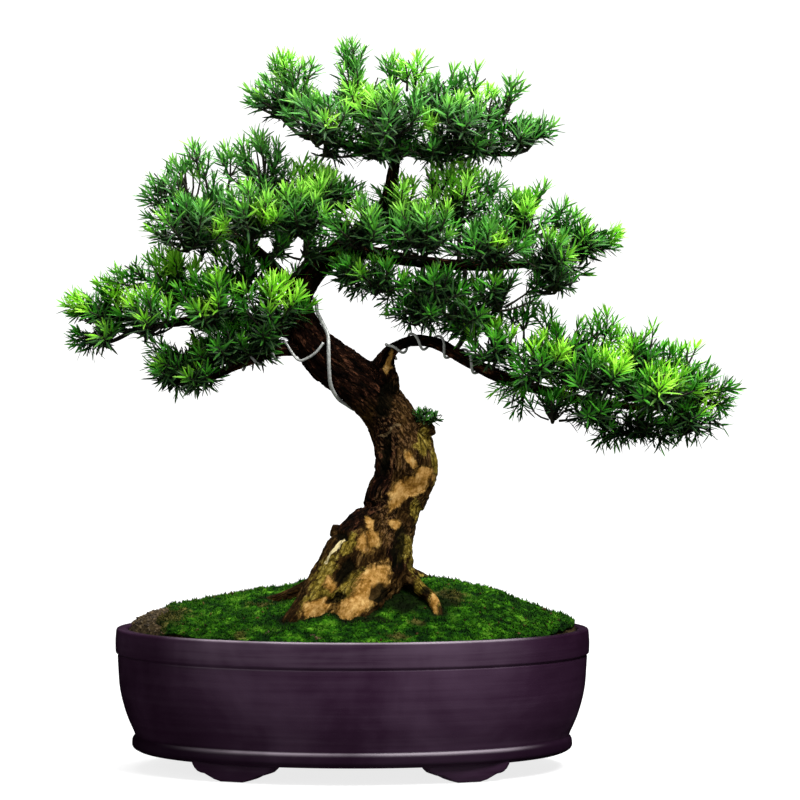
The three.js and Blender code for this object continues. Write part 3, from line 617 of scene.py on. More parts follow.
def ovalGrid(columns, rows, reach):  # an even grid over the oval
    u, v = np.meshgrid(np.linspace(-1, 1, columns), np.linspace(-1, 1, rows))
    x = reach * u * np.sqrt(1 - v * v / 2)
    y = reach * mound["share"] * v * np.sqrt(1 - u * u / 2)
    k = np.arange(columns * rows).reshape(rows, columns)
    quads = np.stack([k[:-1, :-1], k[:-1, 1:], k[1:, 1:], k[1:, :-1]], -1).reshape(-1, 4)
    rim = np.concatenate([k[0, :-1], k[:-1, -1], k[-1, :0:-1], k[:0:-1, 0]])
    return x.ravel(), y.ravel(), quads, rim


def closeBelow(points, quads, rim, levels):  # walls under the rim of a grid, and a floor
    shapes = [quads]
    ring = rim
    total = len(points)
    for lower in levels:
        new = np.arange(len(rim)) + total
        points = np.vstack([points, lower])
        nextRing, nextNew = np.roll(ring, -1), np.roll(new, -1)
        shapes.append(np.stack([nextRing, ring, new, nextNew], -1))
        ring, total = new, total + len(rim)
    points = np.vstack([points, levels[-1].mean(0)[None]])
    tris = np.stack([np.full(len(ring), total), np.roll(ring, -1), ring], -1)
    return points, np.vstack(shapes), tris


def soilLook():
    look = Look("soil", Roughness=0.95, Specular_IOR_Level=0.1)
    place = look.place()
    crumbs = look.cells(place, 330.0)
    stain = look.noise(place, 60.0, 5.0, 0.65)
    tone = look.ramp(stain * 0.7 + crumbs * 0.3, [
        (0.3, (0.006, 0.004, 0.001)), (0.5, (0.026, 0.017, 0.006)), (0.7, (0.09, 0.062, 0.024))])
    look.feed("Base Color", tone)
    look.feed("Normal", look.bump(crumbs * 0.6 + stain * 0.4, 0.8, 0.0016))
    return look


def grainShapes(places, sizes, draw):  # small uneven lumps
    ball = bmesh.new()
    bmesh.ops.create_icosphere(ball, subdivisions=1, radius=1)
    base = np.array([v.co for v in ball.verts])
    faces = np.array([[v.index for v in f.verts] for f in ball.faces])
    ball.free()
    n = len(base)
    uneven = 1 + 0.28 * draw.standard_normal((len(places), n, 1))
    stretch = draw.uniform(0.7, 1.25, (len(places), 1, 3))
    points = places[:, None] + base[None] * uneven * stretch * sizes[:, None, None]
    return points.reshape(-1, 3), repeated(faces, len(places), n)


def makeSoil():
    draw = np.random.default_rng(mound["seed"])
    x, y, quads, rim = ovalGrid(*mound["soilCells"], mound["soilRim"])
    flat = flatPlaces(x, y)
    size, high = mound["crumb"]
    near, second = cellsAt(flat, size, 5)
    out = np.hypot(x, y / mound["share"]) / mound["soilRim"]
    rough = (high * (second - near) + 0.8 * noiseAt(flat, 9, 6)) * (1 - blendStep(0.985, 1, out))
    z = moundHeight(x, y) - 0.7 + rough - 3 * blendStep(0.96, 1, out)
    points = np.stack([x, y, z], -1)
    levels = []
    for r, low in mound["soilWall"]:
        ring = points[rim].copy()
        ring[:, :2] *= r / mound["soilRim"]
        ring[:, 2] = low
        levels.append(ring)
    dress(addObject("soil_mound", closeBelow(points, quads, rim, levels), soilLook()), "soil", "soil")
    # Grains and bark chips, mostly where the moss leaves the soil bare
    tries = mound["grainTries"]
    angle = draw.uniform(0, 2 * np.pi, mound["grainDraws"])
    r = mound["soilRim"] * np.sqrt(draw.uniform(0, 1, len(angle))) * 0.985
    x, y = (r * np.cos(angle))[:tries], (r * np.sin(angle) * mound["share"])[:tries]
    keep = np.flatnonzero(draw.uniform(0, 1, tries) < (1 - mossShare(x, y)) * 0.9)[:mound["grains"]]
    x, y = x[keep], y[keep]
    places = np.stack([x, y, moundHeight(x, y) - 0.2], -1)
    sizes = draw.uniform(0.7, 1.9, len(keep))
    stops = [(0.3, (0.01, 0.006, 0.002)), (0.5, (0.045, 0.029, 0.01)), (0.68, (0.15, 0.1, 0.04))]
    grit, _ = grained("grit", (140.0, 2.0), stops, (0.5, 0.0004), fine=(900.0, 2.0), Roughness=0.9)
    dress(addObject("soil_grains", grainShapes(places, sizes, draw), grit), "soil")


def mossLook():
    look = Look("moss", Roughness=0.9, Specular_IOR_Level=0.05)
    place = look.place()
    broad = look.noise(place, 26.0, 3.0, 0.6, 0.4)
    clumps = look.noise(place, 88.0, 2.5, 0.55, 0.3)
    fine = look.noise(place, 330.0, 4.0, 0.7)
    painted_light_share, damp, brown = look.layer("tuft"), look.layer("damp"), look.layer("brown")
    tone = look.ramp(broad * 0.24 + clumps * 0.42 + fine * 0.34, [
        (0.4, (0.001, 0.01, 0.001)), (0.47, (0.007, 0.046, 0.001)), (0.54, (0.032, 0.15, 0.002)),
        (0.63, (0.17, 0.43, 0.026))])
    old = look.ramp(clumps * 0.4 + fine * 0.6, [
        (0.38, (0.006, 0.005, 0.001)), (0.5, (0.05, 0.034, 0.008)), (0.62, (0.2, 0.13, 0.045))])
    tone = look.tint(tone, old, brown + (clumps - 0.5) * 2.0 + (fine - 0.5) * 0.8, 0.35, 0.95, 0.8)
    # Painted shade in the crevices between moss cushions; their tops stay lighter
    tone = look.tint(look.mix(0.8, tone, (0.001, 0.006, 0.001)), tone, painted_light_share, 0.0, 1.0)
    # Painted shade round the tree's foot and in hollows of the moss
    tone = look.tint(tone, (0.003, 0.005, 0.001), damp + (clumps - 0.5) * 0.9, 0.25, 0.8, 0.92)
    look.feed("Base Color", tone)
    look.feed("Normal", look.bump(clumps * 0.5 + fine * 0.5, 0.9, 0.004))
    return look


def spikes(places, tips, radius, turn):  # closed three-sided blades
    axis = unit(tips - places)
    side = unit(np.cross(axis, np.where(np.abs(axis[:, 2:]) > 0.9, [[1.0, 0, 0]], [[0, 0, 1.0]])))
    across = np.cross(axis, side)
    rings = []
    for k in range(3):
        rings.append(places + around(side, across, turn + k * 2 * np.pi / 3) * radius[:, None])
    points = np.stack([*rings, tips], 1)
    faces = np.array([[0, 1, 3], [1, 2, 3], [2, 0, 3], [0, 2, 1]])
    return points.reshape(-1, 3), repeated(faces, len(places), 4)


def markShare(x, y, marks):  # 1 in the middle of a mark, 0 at its edge and less outside
    best = np.full(len(x), -9.0)
    for middleX, middleY, long, wide, turn in marks:
        c, s = math.cos(math.radians(turn)), math.sin(math.radians(turn))
        u = ((x - middleX) * c + (y - middleY) * s) / long
        v = (-(x - middleX) * s + (y - middleY) * c) / wide
        best = np.maximum(best, 1 - np.hypot(u, v))
    return best


def insideOvals(points, ovals, more):  # 1 in the middle of an oval, falling to 0 a little outside it
    marks = [(*oval, 0) for oval in ovals]
    return np.clip(markShare(*points.T[:2], marks) + more, 0, 1)


def makeMoss(foot):
    draw = np.random.default_rng(mound["seed"] + 1)
    x, y, quads, rim = ovalGrid(*mound["mossCells"], mound["mossRim"])
    flat = flatPlaces(x, y)
    share = mossShare(x, y)
    size, high = mound["cushion"]
    near, _ = cellsAt(flat, size, 7)
    cushions = high * np.maximum(0, 1 - near)**1.5
    size, high = mound["clump"]
    tiny, _ = cellsAt(flat, size, 8)
    cushions = cushions + high * (1 - tiny) + mound["mossWave"] * noiseAt(flat, 30, 9)
    z = moundHeight(x, y) - mound["mossSunk"] + share * (mound["mossDeep"] + cushions)
    points = np.stack([x, y, z], -1)
    level = points[rim].copy()
    level[:, 2] -= 2
    shape = closeBelow(points, quads, rim, [level])
    points = shape[0]
    look = mossLook()
    # Painted light on the tops of the moss cushions, and painted shade in the crevices between them
    painted_cushion_light = np.zeros(len(points))
    painted_cushion_light[:len(x)] = np.clip(share * (0.75 * (1 - near) + 0.35 * (1 - tiny) - 0.05), 0, 1)
    # Painted shade: darker round the tree's foot and in a few hollows
    low = foot[foot[:, 2] < 235][::3]
    wood = kdtree.KDTree(len(low))
    for i, spot in enumerate(low):
        wood.insert(spot, i)
    wood.balance()
    away = np.array([wood.find(spot)[2] for spot in points])
    damp = np.maximum(np.exp(-away / 8), insideOvals(points, mound["damp"], 0.3))
    brown = insideOvals(points, mound["brown"], 0.25)
    layers = {"tuft": painted_cushion_light, "damp": damp, "brown": brown}
    dress(addObject("moss_carpet", shape, look, layers), "moss", "moss")
    # Single moss stems, leaning out from their cushion
    pick = draw.choice(len(x), mound["tufts"] * 2, replace=False)
    pick = pick[(share[pick] > 0.35) & (draw.uniform(0, 1, len(pick)) < 0.3 + share[pick])][:mound["tufts"]]
    places = np.stack([x[pick], y[pick], z[pick] - 0.4], -1)
    places[:, :2] += draw.uniform(-0.7, 0.7, (len(pick), 2))
    lean = draw.standard_normal((len(pick), 3)) * (0.42, 0.42, 0.1) + (0, 0, 1)
    high = draw.uniform(*mound["tuftHigh"], len(pick))
    tips = places + unit(lean) * high[:, None]
    shape = spikes(places, tips, 0.45 + 0.1 * high, draw.uniform(0, 2, len(pick)))
    # Painted light on the stems' tips
    high = np.clip(painted_cushion_light[pick, None] * 0.8 + [0.0, 0.0, 0.0, 0.45], 0, 1)
    layers = {"tuft": high.ravel(), "damp": np.repeat(damp[pick], 4), "brown": np.repeat(brown[pick], 4)}
    dress(addObject("moss_stems", shape, look, layers), "moss")
    # Fallen bits of bark and dead leaves that lie in the moss
    pick = draw.choice(np.flatnonzero(share > 0.2), mound["litter"], replace=False)
    places = np.stack([x[pick], y[pick], z[pick] + 1.1], -1)
    sizes = draw.uniform(0.7, 1.5, len(pick))
    stops = [(0.35, (0.008, 0.005, 0.002)), (0.5, (0.04, 0.022, 0.007)), (0.65, (0.14, 0.085, 0.03))]
    litter, _ = grained("litter", (90.0, 3.0), stops, (0.5, 0.0005), fine=(700.0, 2.0),
                        Roughness=0.9, Specular_IOR_Level=0.1)
    dress(addObject("moss_litter", grainShapes(places, sizes, draw), litter), "moss")


# Tree: trunk, roots and branches, each as x, y, z and radius along a line

tree = {
    "trunk": [
        (2, -22, 118, 46), (2, -24, 150, 50), (3, -22, 172, 50), (8, -18, 190, 47), (16.5, -14, 211, 46.5),
        (25.5, -10, 237, 44), (41, -4, 263, 28), (43.5, 2, 280, 30.5), (52, 6, 298, 30), (56, 8, 315, 33.6),
        (53, 12, 337, 32), (44, 12, 359, 29), (33, 8, 377.5, 25.4), (18.3, 2, 394.4, 25),
        (-5.2, -5, 413.6, 24.1), (-31.5, -10, 434, 22.5), (-51, -12, 460, 18.8), (-57, -10, 489, 15.3),
        (-46, -6, 514, 12.6), (-25, -1, 536, 11.6), (0, 4, 556, 10.4), (23, 6, 578, 9), (37, 6, 601, 7.4),
        (42, 5, 625, 6.6), (46, 3, 648, 5.6),
    ],
    "roots": [
        [
            (7, -30, 244, 22), (-3.5, -40, 227, 27), (-14, -50, 205, 26.5), (-36, -74, 176, 22),
            (-57, -92, 156, 16), (-72, -104, 134, 9),
        ],
        [(32, -22, 226, 20), (20, -54, 194, 23), (4, -82, 170, 21), (-6, -100, 150, 13), (-10, -108, 130, 8)],
        [
            (42, -12, 224, 14), (56, -28, 204, 10.5), (71, -48, 192, 7.5), (85, -70, 181, 6),
            (89, -84, 162, 6.5), (89, -90, 140, 6),
        ],
        [(-8, -14, 216, 20), (-36, -10, 193, 14), (-66, -4, 180, 8), (-94, 4, 171, 6), (-116, 8, 158, 4)],
        [(-2, 0, 214, 20), (-22, 30, 194, 15), (-40, 58, 180, 9), (-52, 76, 164, 5)],
        [(30, 4, 220, 20), (52, 30, 200, 15), (78, 52, 188, 9), (98, 66, 168, 5)],
    ],
    "stub": [(54, 6, 344, 16), (70, 2, 354, 11.5), (83, -1, 361, 10.5)],
    "knot": [(6, -14, 243, 14), (-13, -16, 248, 9), (-22.5, -17, 250.5, 6.8)],
    # Millimetres a step along the lines, and points round the trunk, roots and branches
    "step": 3, "trunkSides": 64, "rootSides": 28, "branchSides": 16, "branchMore": 0.35,
    # How the joined wood is melted into one skin, and the share of its faces that is kept
    "voxel": 1.5, "smoothing": 5, "keep": 0.4,
    # The column that the back's marks are turned round, and their move to the right and up
    "backMiddle": 380, "backShift": 18, "backDrop": 12,
    # How far the grain of one line starts from that of the next, and its stretch
    "grainGap": 500, "grainStretch": 0.3,
    # Relief in millimetres: ridges, finer ridges, cracks, lumps, bare places, hollows and roughness
    "ridge": 1.7, "fineRidge": 1.3, "crack": 1.3, "lump": 1.8, "bare": 0.8, "hollow": 2.8, "rough": 0.8,
    # Points that are compared with the lines at a time
    "block": 4000,
}

branches = {
    "leader": [(45, 3, 640, 5.4), (50, 2, 664, 4.6), (46, 0, 688, 3.4), (36, 0, 704, 2.6)],
    "topLeft": [(46, 3, 646, 5), (14, 6, 652, 4.6), (-16, 2, 657, 4), (-52, -2, 664, 3.2)],
    "topRight": [(46, 3, 646, 5), (80, -2, 652, 4.6), (116, 0, 651, 4), (156, 4, 646, 3)],
    "upperLeft": [
        (-52, -8, 494, 9), (-78, -2, 520, 7.4), (-108, 4, 548, 6), (-138, 2, 562, 4.4),
        (-162, -2, 568, 3.2),
    ],
    "upperMiddle": [(0, 4, 556, 7), (-22, 8, 572, 5.6), (-52, 6, 582, 4.2), (-76, 2, 588, 3.2)],
    "lowerLeft": [
        (-46, -12, 458, 11), (-80, -18, 464, 8.6), (-112, -14, 470, 7), (-150, -8, 472, 5.6),
        (-192, -4, 467, 4.4), (-232, -6, 460, 3.4),
    ],
    "lowest": [
        (-30, -10, 439, 9.5), (-62, -20, 441.5, 8), (-88, -26, 437, 6.6), (-114, -26, 427, 5.5),
        (-152, -20, 409.5, 3.8),
    ],
    "middleRight": [
        (-10, 0, 546, 8.6), (26, -4, 540, 7.6), (62, -2, 534, 6.6), (100, 4, 530, 5.8), (144, 4, 528, 5),
        (188, 0, 531, 4), (226, 0, 535, 3.2),
    ],
    "right": [
        (31, 4, 392, 19), (31.5, 0, 413, 17), (35, -4, 430, 10.5), (45.5, -8, 443, 6.4), (66, -10, 450, 6),
        (89, -10, 446.5, 6.2), (112, -8, 434, 6.6), (140, -4, 419, 6.6), (177, 0, 404, 5.8),
        (219, 2, 393, 5), (266, 0, 383, 4.2), (316, 0, 380, 3.6), (348, 0, 384, 3),
    ],
}

# Places on the front of the bark, as column and row of the front view, with half of their length and width
# there and their turn in degrees
barkMarks = {
    "tan": [
        (367, 541, 14, 11, -35), (370, 585, 27, 14, -52), (352, 606, 24, 13, -38), (316, 608, 18, 9, -30),
        (408, 487, 22, 10, -22), (396, 501, 13, 6, -50), (424, 474, 10, 8, 0), (368, 522, 9, 5, 70),
        (395, 524, 8, 5, 70), (434, 603, 5, 15, 10), (410, 460, 11, 4, 60), (387, 362, 2.8, 14, 16),
        (330, 585, 9, 7, 50),
    ],
    # Olive lichen, and a painted highlight along the trunk's right edge
    "olive": [
        (322, 575, 9, 26, 28), (435, 464, 5, 24, 0), (416, 512, 6, 14, -15), (318, 600, 22, 12, -35),
        (411, 566, 4, 12, 0), (420, 584, 7, 12, 20), (350, 586, 9, 22, 35), (347, 544, 6, 14, 30),
        (422, 440, 8, 18, 5), (404, 548, 8, 14, 10), (434, 600, 8, 14, 0),
    ],
    # Hollows: sunk in the relief and painted almost black, as painted shade in them
    "hollow": [
        (345, 572, 8, 14, 25), (334, 599, 10, 3, -30), (399, 548, 8, 24, 8), (380, 594, 10, 10, -40),
        (386, 400, 10, 20, 20), (401, 602, 22, 9, -54), (384, 452, 5, 22, 5), (340, 536, 7, 4, 30),
        (429, 421, 11, 9, 0), (424, 591, 7, 5, 0),
    ],
    # Painted shade down the trunk's left side
    "painted_left_shade": [(382, 450, 15, 52, 4), (374, 497, 13, 24, 28), (350, 520, 18, 12, -30), (396, 556, 12, 22, 8)],
    "bone": [(333, 551, 17, 2.0, -54)],
    "flecks": [(398, 392, 12, 30, 18), (402, 440, 30, 34, 0), (386, 505, 14, 18, 0), (392, 535, 20, 16, 0)],
    "tie": [(388, 431, 14, 1.6, -31)],
}


def trunkSwell(places):  # how the trunk's section swells at an angle, most of all at its foot
    i = places[:, None]
    foot = np.maximum(0, 1 - i / 7)

    def swell(angle):
        ribs = 0.5 * np.cos(3 * angle + 0.6) + 0.35 * np.cos(5 * angle - i * 0.5)
        return 1 + ribs * (0.05 + 0.12 * foot) + 0.03 * np.sin(2 * angle + i)
    return swell


def nearestLine(points, lines):  # for each point: its line's radius, its place in the grain, its way out
    sides, acrosses, alongs = [], [], []
    for number, line in enumerate(lines):
        _, side, across = framesAlong(line[:, :3])
        sides.append(side)
        acrosses.append(across)
        alongs.append(number * tree["grainGap"] + lengthsAlong(line[:, :3]))
    sides, acrosses, alongs = np.vstack(sides), np.vstack(acrosses), np.concatenate(alongs)
    centres, radii = np.vstack(lines)[:, :3], np.vstack(lines)[:, 3]
    found = np.empty(len(points), int)
    for i in range(0, len(points), tree["block"]):
        block = slice(i, i + tree["block"])
        found[block] = (np.linalg.norm(points[block, None] - centres[None], axis=2) - radii[None]).argmin(1)
    out = points - centres[found]
    u = (out * sides[found]).sum(1)
    v = (out * acrosses[found]).sum(1)
    return radii[found], np.stack([u, v, alongs[found] * tree["grainStretch"]], -1), out


def barkLook():
    look = Look("bark", Roughness=0.85, Specular_IOR_Level=0.03)
    grain = look.place("grain", (0.001, 0.001, 0.001))
    place = look.place()
    coarse = look.noise(grain, 75.0, 4.0, 0.6, 0.9)
    streaks = look.noise(grain, 190.0, 5.0, 0.7, 0.6)
    fine = look.noise(grain, 620.0, 4.0, 0.7)
    flecks = look.noise(place, 210.0, 4.0, 0.7)
    clouds = look.noise(place, 75.0, 4.0, 0.6, 0.5)
    splits = look.cells(grain, 120.0, "DISTANCE_TO_EDGE")
    tan, olive, hollow, bone, upper, dotted, tie = (
        look.layer(n) for n in ("tan", "olive", "hollow", "bone", "upper", "flecks", "tie"))
    rough = coarse * 0.25 + streaks * 0.45 + fine * 0.3
    brown = look.ramp(rough, [
        (0.37, (0.003, 0.0017, 0.0003)), (0.46, (0.014, 0.0065, 0.0018)), (0.54, (0.056, 0.028, 0.007)),
        (0.65, (0.24, 0.145, 0.048))])
    warm = look.ramp(clouds * 0.4 + streaks * 0.3 + fine * 0.3, [
        (0.38, (0.03, 0.013, 0.002)), (0.47, (0.11, 0.055, 0.01)), (0.55, (0.23, 0.13, 0.03)),
        (0.66, (0.42, 0.27, 0.08))])
    light = look.ramp(clouds * 0.4 + streaks * 0.3 + flecks * 0.3, [
        (0.4, (0.12, 0.048, 0.006)), (0.47, (0.265, 0.13, 0.022)), (0.54, (0.47, 0.26, 0.075)),
        (0.63, (0.7, 0.46, 0.17))])
    lichen = look.ramp(flecks * 0.35 + fine * 0.3 + streaks * 0.35, [
        (0.38, (0.012, 0.009, 0.001)), (0.46, (0.08, 0.056, 0.006)), (0.53, (0.25, 0.18, 0.025)),
        (0.63, (0.6, 0.49, 0.13))])
    dark = look.ramp(rough, [
        (0.44, (0.0006, 0.0004, 0.0003)), (0.53, (0.011, 0.0038, 0.002)), (0.62, (0.16, 0.062, 0.03))])
    # Darker on the upper trunk, and painted shade down its left side
    tone = look.tint(brown, dark, upper + (coarse - 0.5) * 0.8, 0.2, 0.8)
    # Small pale scales where the old bark flakes
    scales = look.between(flecks * 0.5 + fine * 0.5, 0.5, 0.57) * look.between(dotted, 0.3, 0.7)
    tone = look.mix(scales * 0.55, tone, look.mix(fine, (0.075, 0.03, 0.01), (0.34, 0.19, 0.08)))
    # Olive lichen, and a painted highlight in the same yellow-green along the trunk's right edge
    tone = look.tint(tone, lichen, olive + (flecks - 0.5) * 1.2 + (streaks - 0.5), 0.36, 0.85, 0.9)
    patch = tan + (streaks - 0.5) * 1.1 + (clouds - 0.5) * 0.9 + (flecks - 0.5) * 0.9
    tone = look.tint(tone, warm, patch, 0.3, 0.6)
    tone = look.tint(tone, light, patch, 0.48, 0.86)
    # Painted shade: the hollows are darkened almost to black
    tone = look.tint(tone, (0.003, 0.003, 0.001), hollow + (flecks - 0.5) * 0.8, 0.4, 0.75, 0.9)
    tone = look.tint(tone, (0.74, 0.62, 0.32), bone + (fine - 0.5) * 0.8, 0.45, 0.6)
    tone = look.tint(tone, (0.22, 0.15, 0.07), tie + (fine - 0.5) * 0.5, 0.4, 0.6, 0.8)
    cracks = look.between(splits, 0.1, 0.0) * look.between(coarse, 0.42, 0.58)
    tone = look.mix(cracks * look.between(tan, 0.62, 0.35) * 0.8, tone, (0.004, 0.0025, 0.001))
    look.feed("Base Color", tone)
    look.feed("Roughness", 0.9 - look.between(tan, 0.4, 0.8) * 0.25)
    plates = look.between(splits, 0.0, 0.14) * 0.6 * look.between(tan, 0.7, 0.4)
    under = look.bump(plates + rough, 0.9, 0.0035)
    look.feed("Normal", look.bump(flecks * 0.5 + fine * 0.5, 0.6, 0.0015, under))
    return look


def makeTree():
    trunkLine, places = smoothLine(tree["trunk"], tree["step"])
    shapes = [tube(trunkLine, tree["trunkSides"], trunkSwell(places))]
    lines = [trunkLine]
    parts = [(line, tree["rootSides"], 0) for line in [*tree["roots"], tree["stub"], tree["knot"]]]
    parts += [(line, tree["branchSides"], tree["branchMore"]) for line in branches.values()]
    for line, sides, more in parts:
        fine, _ = smoothLine(line, tree["step"])
        fine[:, 3] += more
        shapes.append(tube(fine, sides))
        lines.append(fine)
    bark = barkLook()
    raw = addObject("tree_wood", gather(shapes), bark)
    melt = raw.modifiers.new("melt", "REMESH")
    melt.mode = "VOXEL"
    melt.voxel_size = tree["voxel"] / 1000
    melt.use_smooth_shade = True
    ease = raw.modifiers.new("ease", "SMOOTH")
    ease.iterations = tree["smoothing"]
    ease.factor = 0.5
    mesh = applied(raw)
    normals = readVectors(mesh.vertex_normals, "vector")
    points = (readVectors(mesh.vertices, "co") - potMiddle) * 1000
    radius, grain, out = nearestLine(points, lines)
    size = np.clip(radius / 22, 0.22, 1)
    x, _, z = points.T
    front = out[:, 1] < 0.25 * radius
    columns, rows = seenAt(points)
    columns += 4 * noiseAt(points, 9, 1)
    rows += 4 * noiseAt(points, 9, 2)
    # The back has marks of the same kind, a little higher and turned round
    backColumns = 2 * tree["backMiddle"] - columns + tree["backShift"]
    masks = {}
    for name, marks in barkMarks.items():
        ahead = markShare(columns, rows, marks)
        behind = markShare(backColumns, rows + tree["backDrop"], marks)
        masks[name] = blendStep(-0.6, 0.6, np.where(front, ahead, behind))
    for name in ("bone", "tie"):
        masks[name] = np.where(front, masks[name], 0)
    # The upper trunk is darker, less so on its right; the painted shade on the trunk's left side joins it
    high = blendStep(345, 415, z) * (1 - 0.45 * blendStep(20, 60, x) * blendStep(440, 380, z))
    masks["upper"] = np.maximum(np.clip(high, 0, 1), masks.pop("painted_left_shade") * 0.9)
    # Relief: long ridges, plates with cracks between them, and smooth places where the bark fell off
    bare = blendStep(0.4, 0.62, masks["tan"])
    sunk = blendStep(0.35, 0.7, masks["hollow"])
    ridges = tree["ridge"] * noiseAt(grain, 15, 3) + tree["fineRidge"] * noiseAt(grain, 6.5, 4)
    near, second = cellsAt(grain, 9, 5)
    cracks = blendStep(0.18, 0.0, second - near)
    lumps = tree["lump"] * noiseAt(points, 24, 6)
    barked = 1 - 0.75 * bare
    relief = barked * (ridges - tree["crack"] * cracks) + lumps - tree["bare"] * bare - tree["hollow"] * sunk
    relief = size * relief + size * tree["rough"] * noiseAt(points, 3.6, 7) * barked
    points += normals * relief[:, None]
    mesh.vertices.foreach_set("co", (points / 1000 + potMiddle).astype(np.float32).ravel())
    paint(mesh, {"grain": grain, **masks})
    mesh.update()
    lighten = raw.modifiers.new("lighten", "DECIMATE")
    lighten.ratio = tree["keep"]
    mesh = applied(raw)
    mesh.materials.clear()
    mesh.materials.append(bark.material)
    dress(raw, "bark", "tree")
    return points


# Wires

# Each wire's lead as x, y and z, then its turns round a branch, at a gap from the bark
wires = {
    "wire_trunk": {
        "radius": 2.0,
        "lead": [
            (38, 38, 396), (24, 34, 387), (12, 22, 379), (3, 9, 376.5), (-6, -3, 382), (-15, -15, 389),
            (-22, -27, 402), (-24, -35, 419), (-24.5, -37, 440), (-25.5, -32.5, 456), (-31.5, -26, 469),
            (-37, -18, 480), (-38.5, -4, 489), (-45, 9.5, 496), (-60, 12, 501),
        ],
    },
    "wire_left": {
        "radius": 1.4,
        "lead": [(-30, -38, 448), (-37, -37, 438.5), (-47, -33, 431.5), (-57, -30.5, 430)],
        "wound": {"line": "lowest", "from": 1.3, "to": 3.1, "turns": 2.6, "start": 3.9, "gap": 0.9},
    },
    "wire_right": {
        "radius": 1.4,
        "lead": [],
        "wound": {"line": "right", "from": 2.3, "to": 7.3, "turns": 4.4, "start": 0.5, "gap": 0.7},
    },
}


def woundLine(wound, radius, turnPoints=10):  # a wire's turns round a stretch of a branch
    line = np.array(branches[wound["line"]], float)
    count = math.ceil(wound["turns"] * turnPoints)
    t = wound["from"] + (wound["to"] - wound["from"]) * np.arange(count + 1) / count
    i = np.minimum(len(line) - 2, np.floor(t)).astype(int)
    fine = line[i] + (line[i + 1] - line[i]) * (t - i)[:, None]
    _, side, across = framesAlong(fine[:, :3])
    angle = wound["start"] + 2 * np.pi * wound["turns"] * np.arange(count + 1) / count
    r = fine[:, 3] * 1.02 + radius + wound["gap"]
    return fine[:, :3] + around(side, across, angle) * r[:, None]


def makeWires():
    stops = [(0.3, (0.34, 0.35, 0.33)), (0.7, (0.68, 0.7, 0.66))]
    metal, dull = grained("wire_metal", (260.0, 4.0, 0.6), stops, (0.2, 0.0003), Metallic=0.25)
    metal.feed("Roughness", 0.32 + dull * 0.25)
    for name, wire in wires.items():
        points = np.array(wire["lead"], float).reshape(-1, 3)
        if "wound" in wire:
            points = np.vstack([points, woundLine(wire["wound"], wire["radius"])])
        line = np.hstack([points, np.full((len(points), 1), wire["radius"])])
        fine, _ = smoothLine(line, 2.5)
        dress(addObject("training_" + name, tube(fine, 12), metal), "wire", name)


treePoints = makeTree()
print("tree done")
makeWires()
makeSoil()
makeMoss(treePoints)
print("wires, soil and moss done")


# Foliage: every cushion holds leafy shoots, with narrow leaves set round them

foliage = {
    # Half of a cushion's depth, its shoots, and the millimetres of a shoot that bear leaves
    "depth": 46, "shoots": 13, "leafy": 42,
    "leafGap": 1.55, "leafLong": 20.0, "leafWide": 2.9, "twig": 1.15, "sharp": math.radians(55),
    # Where a cushion's shoots start: how far below its middle, and how far towards the pad's plane
    "hubDrop": 0.62, "hubInset": 0.86,
    # How far tips stay inside the cushion, and the leafy part of its inner shoots
    "tipInset": 7, "innerLeafy": 24,
    # The leafy part of the shoots in the outline, and the turn and leafy part of their side shoots
    "outlineLeafy": 40, "outlineTurns": (-0.5, 0.45), "sideLeafy": 22,
    # How dark a leaf gets at least, inside its cushion, low in it, and low in its pad
    "shadeLeast": 0.1, "shadeInside": 0.65, "shadeLow": 0.26, "shadeUnder": 0.62,
    # The most that a leaf may lie in an open place, and the share of leaves a shoot must keep
    "openMost": 0.04, "keepLeast": 0.5,
    "seed": 101,
}

# The tuft at the sawn stub: where its shoots start, the middle and reach of their tips, and its cushion
stub = {
    "shoots": 18, "from": (73, 0, 359), "middle": (76, 0, 365), "reach": (16, 12, 11),
    "leafy": 11, "cushion": (80, 0, 366, 14, 10),
}

